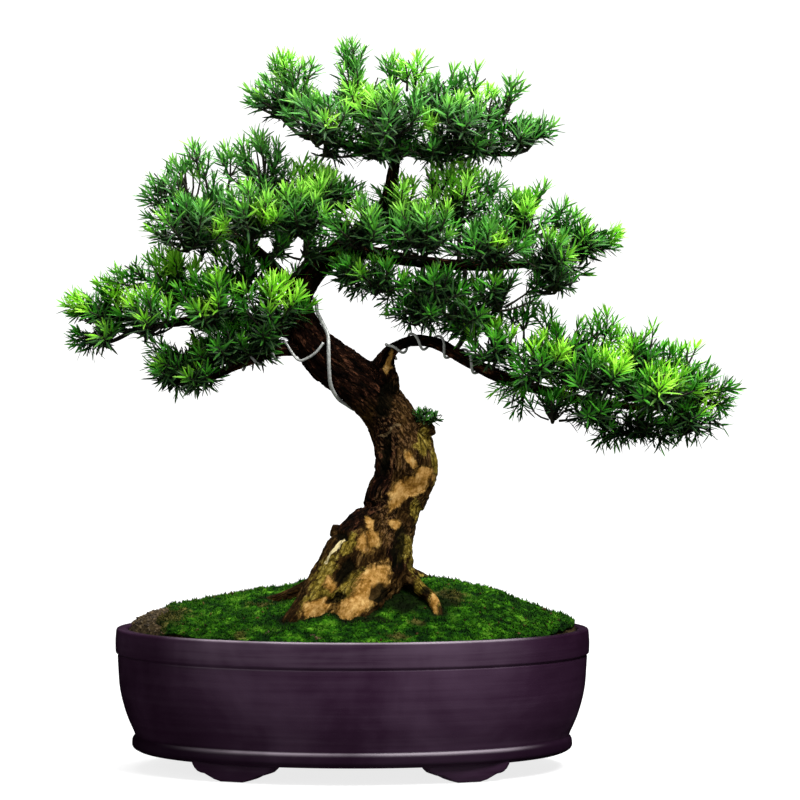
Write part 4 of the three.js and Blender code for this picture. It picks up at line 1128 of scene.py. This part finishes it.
# Each cushion's middle and half of its width and height; each pad's branches
pads = {
    "top": {
        "homes": ["leader", "topLeft", "topRight"], "fanFrom": (44, 0, 606),
        "cushions": [
            (-36, -42, 676, 46, 38), (40, -44, 680, 50, 42), (112, -38, 674, 46, 33), (-70, 4, 700, 42, 34),
            (0, 2, 708, 36, 40), (84, 6, 698, 48, 36), (146, 4, 686, 44, 32), (184, 0, 664, 36, 22),
            (26, 48, 678, 60, 40), (-30, -16, 654, 44, 18), (30, -22, 650, 46, 18), (90, -18, 650, 46, 18),
            (132, -8, 654, 38, 16),
        ],
    },
    "upper": {
        "homes": ["upperLeft", "upperMiddle"], "fanFrom": (-74, 0, 470),
        "cushions": [
            (-172, -44, 566, 46, 38), (-106, -46, 576, 44, 40), (-52, -42, 580, 44, 38),
            (-176, 0, 602, 48, 44), (-94, 2, 622, 46, 42), (-146, 46, 578, 46, 38), (-72, 46, 576, 46, 38),
            (-50, -26, 546, 34, 22), (-26, -14, 604, 32, 28), (-84, -30, 548, 34, 18),
        ],
    },
    "left": {
        "homes": ["lowerLeft", "lowest"], "fanFrom": (-90, 0, 400),
        "cushions": [
            (-214, -42, 472, 44, 33), (-148, -50, 484, 46, 40), (-82, -48, 484, 46, 40),
            (-254, 2, 480, 50, 30), (-190, 2, 512, 46, 42), (-118, 4, 520, 48, 42), (-152, 50, 484, 52, 40),
            (-181, -16, 426, 37, 27), (-130, -36, 444, 44, 28), (-194, -12, 418, 25, 21),
            (-163, -24, 413, 32, 16), (-92, -32, 458, 36, 22), (-262, -6, 456, 28, 16),
            (-150, -10, 436, 36, 18), (-102, -18, 442, 34, 18),
        ],
    },
    "middle": {
        "homes": ["middleRight"], "fanFrom": (92, 0, 456),
        "cushions": [
            (10, -46, 566, 46, 33), (76, -54, 560, 48, 38), (146, -50, 548, 46, 33),
            (208, -36, 538, 42, 30), (46, 4, 592, 48, 38), (112, 2, 596, 50, 42), (182, 0, 576, 48, 36),
            (244, 0, 554, 42, 26), (56, 54, 566, 50, 33), (132, 52, 556, 50, 33), (24, -36, 514, 42, 26),
            (86, -42, 502, 46, 28), (154, -36, 498, 50, 28), (96, 40, 506, 52, 26), (-4, -30, 522, 24, 20),
            (70, -36, 480, 36, 20), (116, -34, 478, 40, 20), (212, -22, 512, 34, 20),
        ],
    },
    "right": {
        "homes": ["right"], "fanFrom": (190, 0, 320),
        "cushions": [
            (196, -36, 428, 42, 30), (262, -38, 412, 46, 33), (322, -40, 398, 44, 32),
            (228, 4, 442, 44, 34), (300, 2, 428, 46, 38), (362, 0, 402, 44, 32), (236, 42, 416, 46, 32),
            (306, 40, 406, 48, 34), (210, -10, 378, 46, 24), (304, 2, 362, 54, 22), (150, -22, 446, 42, 28),
            (352, -6, 368, 36, 24), (258, -22, 376, 34, 18), (120, -14, 466, 30, 16),
        ],
    },
}

# Shoots that show in the outline, from column and row to column and row of the front view, at a depth
outlineShoots = {
    "top": [
        (352, 84, 350, 40, 0), (300, 98, 288, 55, -6), (285, 112, 249, 92, 4), (280, 120, 250, 112, -4),
        (393, 92, 392, 54, 10), (412, 92, 416, 54, -8), (438, 102, 454, 66, 6), (466, 106, 477, 66, -4),
        (500, 122, 521, 86, 2), (520, 138, 556, 124, 0), (385, 146, 375, 166, -12),
        (425, 146, 432, 164, -8), (490, 144, 500, 158, -6), (284, 84, 280, 54, -2), (405, 92, 403, 62, -14),
        (462, 100, 450, 78, 10), (302, 88, 311, 62, 4), (352, 74, 342, 44, -8), (284, 86, 272, 60, 6),
        (504, 108, 517, 79, -8), (278, 112, 244, 89, -8), (278, 118, 245, 102, 8), (395, 96, 388, 58, 0),
    ],
    "upper": [
        (188, 196, 170, 158, 0), (206, 190, 195, 152, 6), (226, 190, 229, 152, -6), (272, 182, 260, 136, 2),
        (170, 200, 150, 178, -6), (178, 212, 144, 192, -4), (176, 226, 142, 216, 2),
        (178, 240, 152, 234, -8), (296, 208, 292, 170, 4), (312, 206, 310, 166, -8),
        (325, 212, 334, 176, 0), (338, 220, 350, 188, -6), (300, 214, 322, 190, -14),
        (180, 195, 200, 170, -12), (250, 180, 246, 154, -10), (340, 208, 356, 178, -8),
        (262, 160, 252, 132, 6), (300, 190, 303, 158, -10), (222, 175, 223, 145, 2),
        (246, 168, 241, 141, -4), (197, 170, 191, 144, -8), (320, 200, 314, 160, 4),
        (215, 262, 218, 238, -20), (200, 262, 206, 236, -16),
    ],
    "left": [
        (186, 268, 150, 264, -4), (150, 284, 120, 264, 4), (140, 290, 104, 280, -6), (106, 312, 66, 305, 0),
        (118, 318, 80, 322, -8), (96, 334, 72, 346, -6), (90, 338, 74, 328, -2), (172, 352, 192, 392, -10),
        (168, 362, 150, 340, 2), (175, 372, 178, 392, -16), (200, 372, 210, 388, -18),
        (180, 318, 174, 336, -14), (205, 330, 212, 356, -16), (190, 330, 196, 352, -20),
        (100, 330, 66, 312, 2), (104, 318, 68, 296, -6), (98, 330, 70, 342, -10), (100, 334, 84, 350, -4),
        (120, 300, 94, 282, -4), (286, 282, 300, 259, -14), (100, 312, 60, 305, 0), (150, 290, 112, 270, 8),
    ],
    "middle": [
        (578, 246, 618, 236, 0), (362, 262, 340, 276, -8), (366, 270, 350, 296, -4),
        (392, 284, 384, 312, 2), (408, 300, 408, 328, -4), (520, 212, 528, 196, -8),
        (430, 300, 430, 334, 6), (455, 304, 452, 336, -6), (480, 304, 484, 330, 2),
        (560, 262, 588, 276, -4), (545, 268, 570, 288, -8), (350, 262, 338, 258, -12),
        (480, 200, 497, 176, -8), (430, 196, 430, 166, -6), (575, 250, 618, 228, 4),
        (572, 252, 612, 244, -6), (470, 198, 488, 176, 8), (550, 240, 566, 200, -4),
        (560, 244, 577, 210, 4), (530, 212, 545, 184, 0), (480, 226, 488, 200, -12),
        (503, 216, 510, 196, -10), (440, 190, 446, 164, -8), (462, 190, 466, 162, -10),
    ],
    "right": [
        (546, 342, 540, 306, -4), (600, 346, 606, 310, 4), (592, 346, 596, 318, -8),
        (645, 356, 652, 324, 0), (680, 372, 696, 344, -6), (698, 394, 738, 388, 0),
        (612, 414, 613, 446, -4), (664, 412, 670, 442, 4), (704, 408, 720, 436, 0),
        (690, 410, 694, 440, -8), (710, 398, 725, 411, -4), (520, 384, 506, 396, -6),
        (500, 336, 492, 306, -4), (480, 332, 466, 312, 2), (660, 372, 668, 344, -10),
        (672, 374, 682, 346, 6), (625, 412, 626, 442, 4), (606, 404, 600, 432, -8),
        (528, 372, 516, 392, -14), (522, 340, 520, 308, -8), (640, 410, 640, 440, -6),
        (586, 400, 582, 424, -4), (524, 328, 529, 298, -4), (604, 350, 615, 329, -8),
        (522, 374, 500, 361, -10), (516, 374, 491, 393, -4), (526, 386, 511, 413, -6),
        (700, 400, 725, 402, -6), (655, 424, 659, 448, -4), (604, 424, 599, 446, -2),
        (510, 332, 512, 308, -10),
    ],
}

# Bright new growth, as column, row and reach of the front view
freshMarks = [
    (359, 94, 22), (410, 70, 20), (287, 58, 12), (483, 89, 14), (452, 182, 32), (406, 188, 18),
    (528, 206, 16), (619, 234, 12), (262, 213, 20), (218, 229, 14), (280, 293, 24), (167, 264, 18),
    (121, 295, 16), (76, 304, 12), (205, 306, 16), (308, 177, 24), (617, 353, 22), (668, 381, 18),
    (695, 345, 12), (710, 398, 16), (560, 352, 14), (430, 120, 12), (330, 120, 12), (190, 180, 14),
    (500, 240, 14), (350, 215, 14),
]


def leafFrame():  # one leaf: shares of its length and half width, and millimetres up, with its faces
    rows = [(0.12, 0.6), (0.42, 1.0), (0.8, 0.62)]
    points = [(0, 0, 0)]
    for t, wide in rows:
        points += [(t, -wide, 0), (t, 0, 0.3 + 0.2 * wide), (t, wide, 0)]
    points.append((1, 0, 0))
    last = len(points) - 1
    quads, tris = [], []
    for k in range(3):
        after = (k + 1) % 3
        for r in range(len(rows) - 1):
            a, b = 1 + 3 * r + k, 1 + 3 * r + after
            quads.append((a, b, b + 3, a + 3))
        tris.append((0, 1 + after, 1 + k))
        tris.append((last, last - 3 + k, last - 3 + after))
    return np.array(points, float), np.array(quads), np.array(tris)


class Shoots:  # the twigs and leaves of one pad
    def __init__(self, seed):
        self.draw = np.random.default_rng(seed)
        self.twigs = []
        self.leaves = []

    def twig(self, line, sides):
        self.twigs.append(tube(line, sides))

    def grow(self, base, tip, vigour, fresh, leafy=None, spread=1.0, end=None):
        draw = self.draw
        base, tip = np.asarray(base, float), np.asarray(tip, float)
        length = np.linalg.norm(tip - base)
        out = unit(tip - base)
        if end is None:
            bend = base + unit(out + draw.standard_normal(3) * 0.22 - (0, 0, 0.25)) * length * 0.5
        else:
            bend = tip - unit(end + draw.standard_normal(3) * 0.16) * length * 0.52
        t = np.linspace(0, 1, 5)[:, None]
        path = arc(base, bend, tip, t)
        radii = foliage["twig"] * (1.25 - 0.65 * t)
        along = lengthsAlong(path)
        whole = along[-1]
        leafy = min(leafy or foliage["leafy"] * draw.uniform(0.85, 1.15), 0.92 * whole)
        count = int(leafy / foliage["leafGap"] * (1 + 0.3 * max(0, fresh)))
        share = (np.arange(count) + 0.5) / count  # 0 at the first leaf, 1 at the tip
        share = 1 - (1 - share)**1.25
        place = whole - leafy * (1 - share) - 0.3
        centre = np.stack([np.interp(place, along, path[:, k]) for k in range(3)], -1)
        tangents, side, across = framesAlong(path)
        pick = np.clip(np.searchsorted(along, place), 1, len(path) - 1)
        turn = np.arange(count) * spiral + draw.uniform(0, 6.3) + draw.uniform(-0.25, 0.25, count)
        ray = around(side[pick], across[pick], turn)
        axis = tangents[pick]
        lean = (1.18 - 0.8 * share**2.2) * spread + draw.uniform(-0.14, 0.14, count)
        direction = unit(around(axis, ray, lean) + (0, 0, 0.12))
        face = axis - direction * (axis * direction).sum(1, keepdims=True)
        face = unit(face + draw.standard_normal((count, 3)) * 0.14)
        face = unit(face - direction * (face * direction).sum(1, keepdims=True))
        # Leaves are shorter at both ends of a shoot, and narrower at its tip
        long = foliage["leafLong"] * (0.8 + 0.42 * draw.uniform(0, 1, count)) * vigour
        long *= 1 - 0.42 * share**4 - 0.18 * (1 - share)**3
        wide = 0.5 * foliage["leafWide"] * (0.84 + 0.3 * draw.uniform(0, 1, count)) * (1 - 0.22 * share**4)
        bend = draw.uniform(-0.2, 0.1, count) - 0.1 * (1 - share)
        middle = centre + direction * 0.6 * long[:, None]
        bright = np.maximum(0.7 * fresh, 1.1 * freshAt(middle))
        leaves = np.hstack([
            centre + ray * foliage["twig"] * 0.6, direction, face,
            *(n[:, None] for n in (long, wide, bend, share, bright)), draw.uniform(0, 1, (count, 1)),
        ])
        covers = np.maximum(markShare(*seenAt(middle), openPlaces), markShare(*seenAt(centre), openPlaces))
        keep = covers < foliage["openMost"]
        if keep.mean() > foliage["keepLeast"]:
            self.twig(np.hstack([path, radii]), 4)
            self.leaves.append(leaves[keep])

    def leafMesh(self, cushions):
        leaves = np.vstack(self.leaves)
        base, direction, face = leaves[:, 0:3], leaves[:, 3:6], leaves[:, 6:9]
        long, wide, bend, share, fresh, chance = leaves[:, 9:].T
        side = np.cross(direction, face)
        shape, quads, tris = leafFrame()
        t, s, up = shape.T
        points = base[:, None] + direction[:, None] * (long[:, None] * t)[..., None]
        points += side[:, None] * (wide[:, None] * s)[..., None]
        rise = bend[:, None] * long[:, None] * t**2 + up
        points += face[:, None] * rise[..., None]
        count, n = len(leaves), len(shape)
        shade = shadeAt(base + direction * 0.5 * long[:, None], cushions)
        each = {"share": share, "fresh": fresh, "chance": chance, "shade": shade}
        layers = {name: np.repeat(values, n) for name, values in each.items()}
        layers.update(along=np.tile(t, count), edge=np.tile(np.abs(s), count))
        return (points.reshape(-1, 3), repeated(quads, count, n), repeated(tris, count, n)), layers


allCushions = np.array([c for pad in pads.values() for c in pad["cushions"]], float)


# Places where the white behind the tree shows between the tufts, as in barkMarks
openPlaces = [
    (516, 106, 17, 6, -50), (535, 147, 16, 5, -12), (370, 76, 11, 9, 82), (86, 327, 13, 6, 26),
    (191, 188, 15, 7, 53), (443, 76, 9, 6, 82), (327, 87, 12, 8, -35), (569, 327, 11, 6, -80),
    (258, 161, 14, 5, 45), (656, 340, 11, 5, -16), (697, 357, 11, 5, -30), (304, 147, 14, 7, -40),
    (154, 172, 9, 6, 58), (542, 204, 13, 5, -60), (639, 327, 9, 6, -45), (597, 223, 12, 5, 28),
    (86, 290, 10, 4, 35), (514, 296, 11, 8, -70), (115, 341, 8, 6, -20), (372, 173, 26, 12, 10),
    (483, 75, 9, 6, 56), (410, 168, 13, 9, 20), (260, 115, 10, 5, -38), (406, 88, 6, 5, 34),
    (482, 341, 10, 6, 86), (520, 338, 10, 5, -12), (156, 328, 8, 4, -12), (168, 335, 7, 4, 82),
    (487, 107, 7, 3, -72), (320, 144, 5, 3, 0), (260, 253, 6, 4, 40), (229, 171, 5, 4, 0),
    (530, 223, 5, 3, -50), (545, 419, 18, 7, 0), (603, 257, 9, 5, -20), (126, 262, 9, 5, -30),
    (551, 292, 7, 5, 0), (581, 283, 12, 6, -20), (500, 86, 5, 4, -76), (343, 78, 7, 3, 0),
    (405, 57, 5, 6, 0), (717, 432, 8, 6, -20), (436, 408, 6, 4, 0), (265, 247, 11, 8, 100),
    (294, 251, 16, 7, 112), (229, 305, 8, 3, 80), (177, 340, 15, 8, 58),
]


def shadeAt(points, cushions):  # 1 deep inside or low in the foliage, 0 at its lit surface
    gap = (points[:, None] - allCushions[None, :, :3]) / np.stack(
        [allCushions[:, 3], np.full(len(allCushions), foliage["depth"]), allCushions[:, 4]], -1)[None]
    reach = np.linalg.norm(gap, axis=2)
    nearest = reach.argmin(1)
    inside = 1 - reach.min(1)
    low = -gap[np.arange(len(points)), nearest, 2]
    # How far up the pad, from its underside to its top there
    x, z = points[:, 0, None], points[:, 2]
    own = np.array(cushions, float)
    cover = np.clip(1 - ((x - own[:, 0]) / (own[:, 3] + 12))**2, 0, 1)
    half = own[:, 4] * np.sqrt(cover)
    floor = np.where(cover > 0, own[:, 2] - half, np.inf).min(1)
    top = np.where(cover > 0, own[:, 2] + half, -np.inf).max(1)
    level = np.where(np.isfinite(floor), (z - floor) / np.maximum(top - floor, 20), 0.5)
    under = 1 - np.clip(level, 0, 1)
    shade = foliage["shadeLeast"] + foliage["shadeInside"] * inside + foliage["shadeLow"] * low
    return np.clip(shade + foliage["shadeUnder"] * under, 0, 1)


def freshAt(points):  # 1 in the middle of a bright tuft, on the front half of the tree
    marks = [(column, row, 1.2 * reach, 1.2 * reach, 0) for column, row, reach in freshMarks]
    return np.maximum(0, markShare(*seenAt(points), marks)) * (points[:, 1] < 25)


def leafLook():
    look = Look("leaf", Roughness=0.45, Specular_IOR_Level=0.22)
    place = look.place()
    share, fresh, chance, along, edge, shade = (
        look.layer(n) for n in ("share", "fresh", "chance", "along", "edge", "shade"))
    mottle = look.noise(place, 120.0, 3.0, 0.6)
    # A dark ramp for old leaves near a shoot's base, which is also the painted shade of leaves deep inside
    # and low in the foliage
    old = look.ramp(mottle * 0.5 + chance * 0.5, [
        (0.2, (0.0016, 0.009, 0.0045)), (0.5, (0.006, 0.026, 0.01)), (0.85, (0.014, 0.06, 0.018))])
    green = look.ramp(mottle * 0.4 + chance * 0.6, [
        (0.15, (0.01, 0.12, 0.005)), (0.5, (0.028, 0.265, 0.008)), (0.88, (0.08, 0.46, 0.02))])
    bright = look.ramp(mottle * 0.4 + along * 0.6, [
        (0.2, (0.19, 0.68, 0.012)), (0.6, (0.37, 0.9, 0.04)), (0.95, (0.64, 0.99, 0.16))])
    tone = look.tint(old, green, share * 0.75 - shade * 1.15 + chance * 0.25 + 0.55, 0.0, 0.8)
    tone = look.tint(tone, bright, fresh * 1.25 + share * 0.62 - shade * 0.42, 0.42, 1.12)
    # Thin, high foliage lets the light through
    thin = look.between(look.height(place), 0.5, 0.64) * look.between(shade, 0.9, 0.3)
    tone = look.mix(thin * 0.15, tone, (0.4, 0.7, 0.34))
    # Painted highlight: each leaf is lighter along its midrib
    tone = look.tint(tone, (0.3, 0.6, 0.08), edge, 0.45, 0.0, 0.14)
    look.feed("Base Color", tone)
    look.feed("Roughness", 0.4 + mottle * 0.18)
    look.feed("Normal", look.bump(look.between(edge, 0.0, 0.35), 0.25, 0.0004))
    return look


def growOutline(shoots, marks):  # single shoots that stand out of the pad, each with two side shoots
    for fromColumn, fromRow, toColumn, toRow, depth in marks:
        base, tip = fromFront(fromColumn, fromRow, depth * 0.5), fromFront(toColumn, toRow, depth)
        out = tip - base
        tip = base + out * 0.91
        fresh = max(0.25, freshAt(tip[None])[0])
        shoots.grow(base, tip, 1.0, fresh, leafy=foliage["outlineLeafy"])
        for bend in foliage["outlineTurns"]:
            c, s = math.cos(bend), math.sin(bend)
            turned = np.array([out[0] * c - out[2] * s, 0, out[0] * s + out[2] * c])
            turned[1] = shoots.draw.uniform(-0.35, 0.35) * np.linalg.norm(out)
            start = base + out * 0.3
            end = start + turned * shoots.draw.uniform(0.45, 0.55)
            shoots.grow(start, end, 0.9, 0.4 * fresh, leafy=foliage["sideLeafy"])


def growPad(pad, number, leaf, wood):
    shoots = Shoots(foliage["seed"] + number)
    draw = shoots.draw
    homes = [smoothLine(branches[name], 6)[0] for name in pads[pad]["homes"]]
    homePoints = np.vstack([line[len(line) // 8:] for line in homes])
    fan = np.array(pads[pad]["fanFrom"], float)
    for x, y, z, rx, rz in pads[pad]["cushions"]:
        hub = np.array([x, foliage["hubInset"] * y, z - foliage["hubDrop"] * rz])
        gap = np.linalg.norm(homePoints[:, :3] - hub, axis=1)
        start = homePoints[gap.argmin()]
        t = np.linspace(0, 1, 9)[:, None]
        elbow = (start[:3] + hub) / 2 - (0, 0, 0.12 * gap.min())
        shoots.twig(np.hstack([arc(start[:3], elbow, hub, t), 2.7 - 0.9 * t]), 8)
        count = foliage["shoots"] + (2 if rz > 33 else 0)
        for i in range(count):
            # Tips spread evenly over the cushion's top and sides
            up = math.sin(math.radians(-14 + 104 * ((i + 0.5) / count)**0.9))
            turn = i * spiral + draw.uniform(-0.3, 0.3) + number
            flat = math.sqrt(1 - up * up)
            ray = np.array([flat * math.cos(turn), flat * math.sin(turn), up])
            reach = ray * (np.array([rx, foliage["depth"], rz]) - foliage["tipInset"])
            tip = np.array([x, y, z]) + reach * draw.uniform(0.78, 1.12)
            base = hub + (tip - hub) * 0.16
            end = unit(tip - fan) * 0.9 + ray * 0.6 + (0, 0, 0.15)
            fresh = max(freshAt(tip[None])[0], 0.6 * draw.uniform(0, 1)**3)
            shoots.grow(base, tip, draw.uniform(0.88, 1.08) * (1 + 0.16 * fresh), fresh, end=end)
            if i % 2 == 0:
                # A short side shoot fills the inside of the cushion
                tip = hub + (tip - hub) * draw.uniform(0.5, 0.75) + draw.uniform(-9, 9, 3)
                shoots.grow(hub, tip, draw.uniform(0.8, 1.0), 0.0, leafy=foliage["innerLeafy"])
    growOutline(shoots, outlineShoots[pad])
    shape, layers = shoots.leafMesh(pads[pad]["cushions"])
    names = [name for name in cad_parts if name.startswith(f"spray_{pad}_")]
    dress(addObject(f"leaves_{pad}", shape, leaf, layers, foliage["sharp"]), "leaf", *names)
    dress(addObject(f"twigs_{pad}", gather(shoots.twigs), wood), "bark")
    print(pad, "pad:", len(np.vstack(shoots.leaves)), "leaves")


def growStub(leaf):
    shoots = Shoots(foliage["seed"] - 1)
    for i in range(stub["shoots"]):
        turn, rise = i * spiral, 0.15 + 1.25 * i / stub["shoots"]
        ray = np.array([math.cos(turn) * math.cos(rise), math.sin(turn) * math.cos(rise), math.sin(rise)])
        tip = stub["middle"] + ray * stub["reach"]
        shoots.grow(stub["from"], tip, 0.5, 0.0, leafy=stub["leafy"], spread=0.9)
    (points, quads, tris), layers = shoots.leafMesh([stub["cushion"]])
    p, q, t = gather(shoots.twigs)
    n = len(points)
    layers = {name: np.concatenate([values, np.zeros(len(p))]) for name, values in layers.items()}
    layers["shade"] = np.clip(layers["shade"] * 1.6, 0.8, 1.25)
    layers["shade"][n:] = 1.25
    shape = np.vstack([points, p]), quads, q + n, tris, t + n
    dress(addObject("leaves_stub", shape, leaf, layers, foliage["sharp"]), "leaf", "spray_stub")


leaf = leafLook()
twigStops = [(0.3, (0.006, 0.005, 0.003)), (0.55, (0.022, 0.018, 0.008)), (0.8, (0.06, 0.055, 0.02))]
wood, _ = grained("twig", (240.0, 4.0, 0.65), twigStops, (0.6, 0.0008), Roughness=0.8)
for number, pad in enumerate(pads):
    growPad(pad, number, leaf, wood)
growStub(leaf)
print("foliage done")
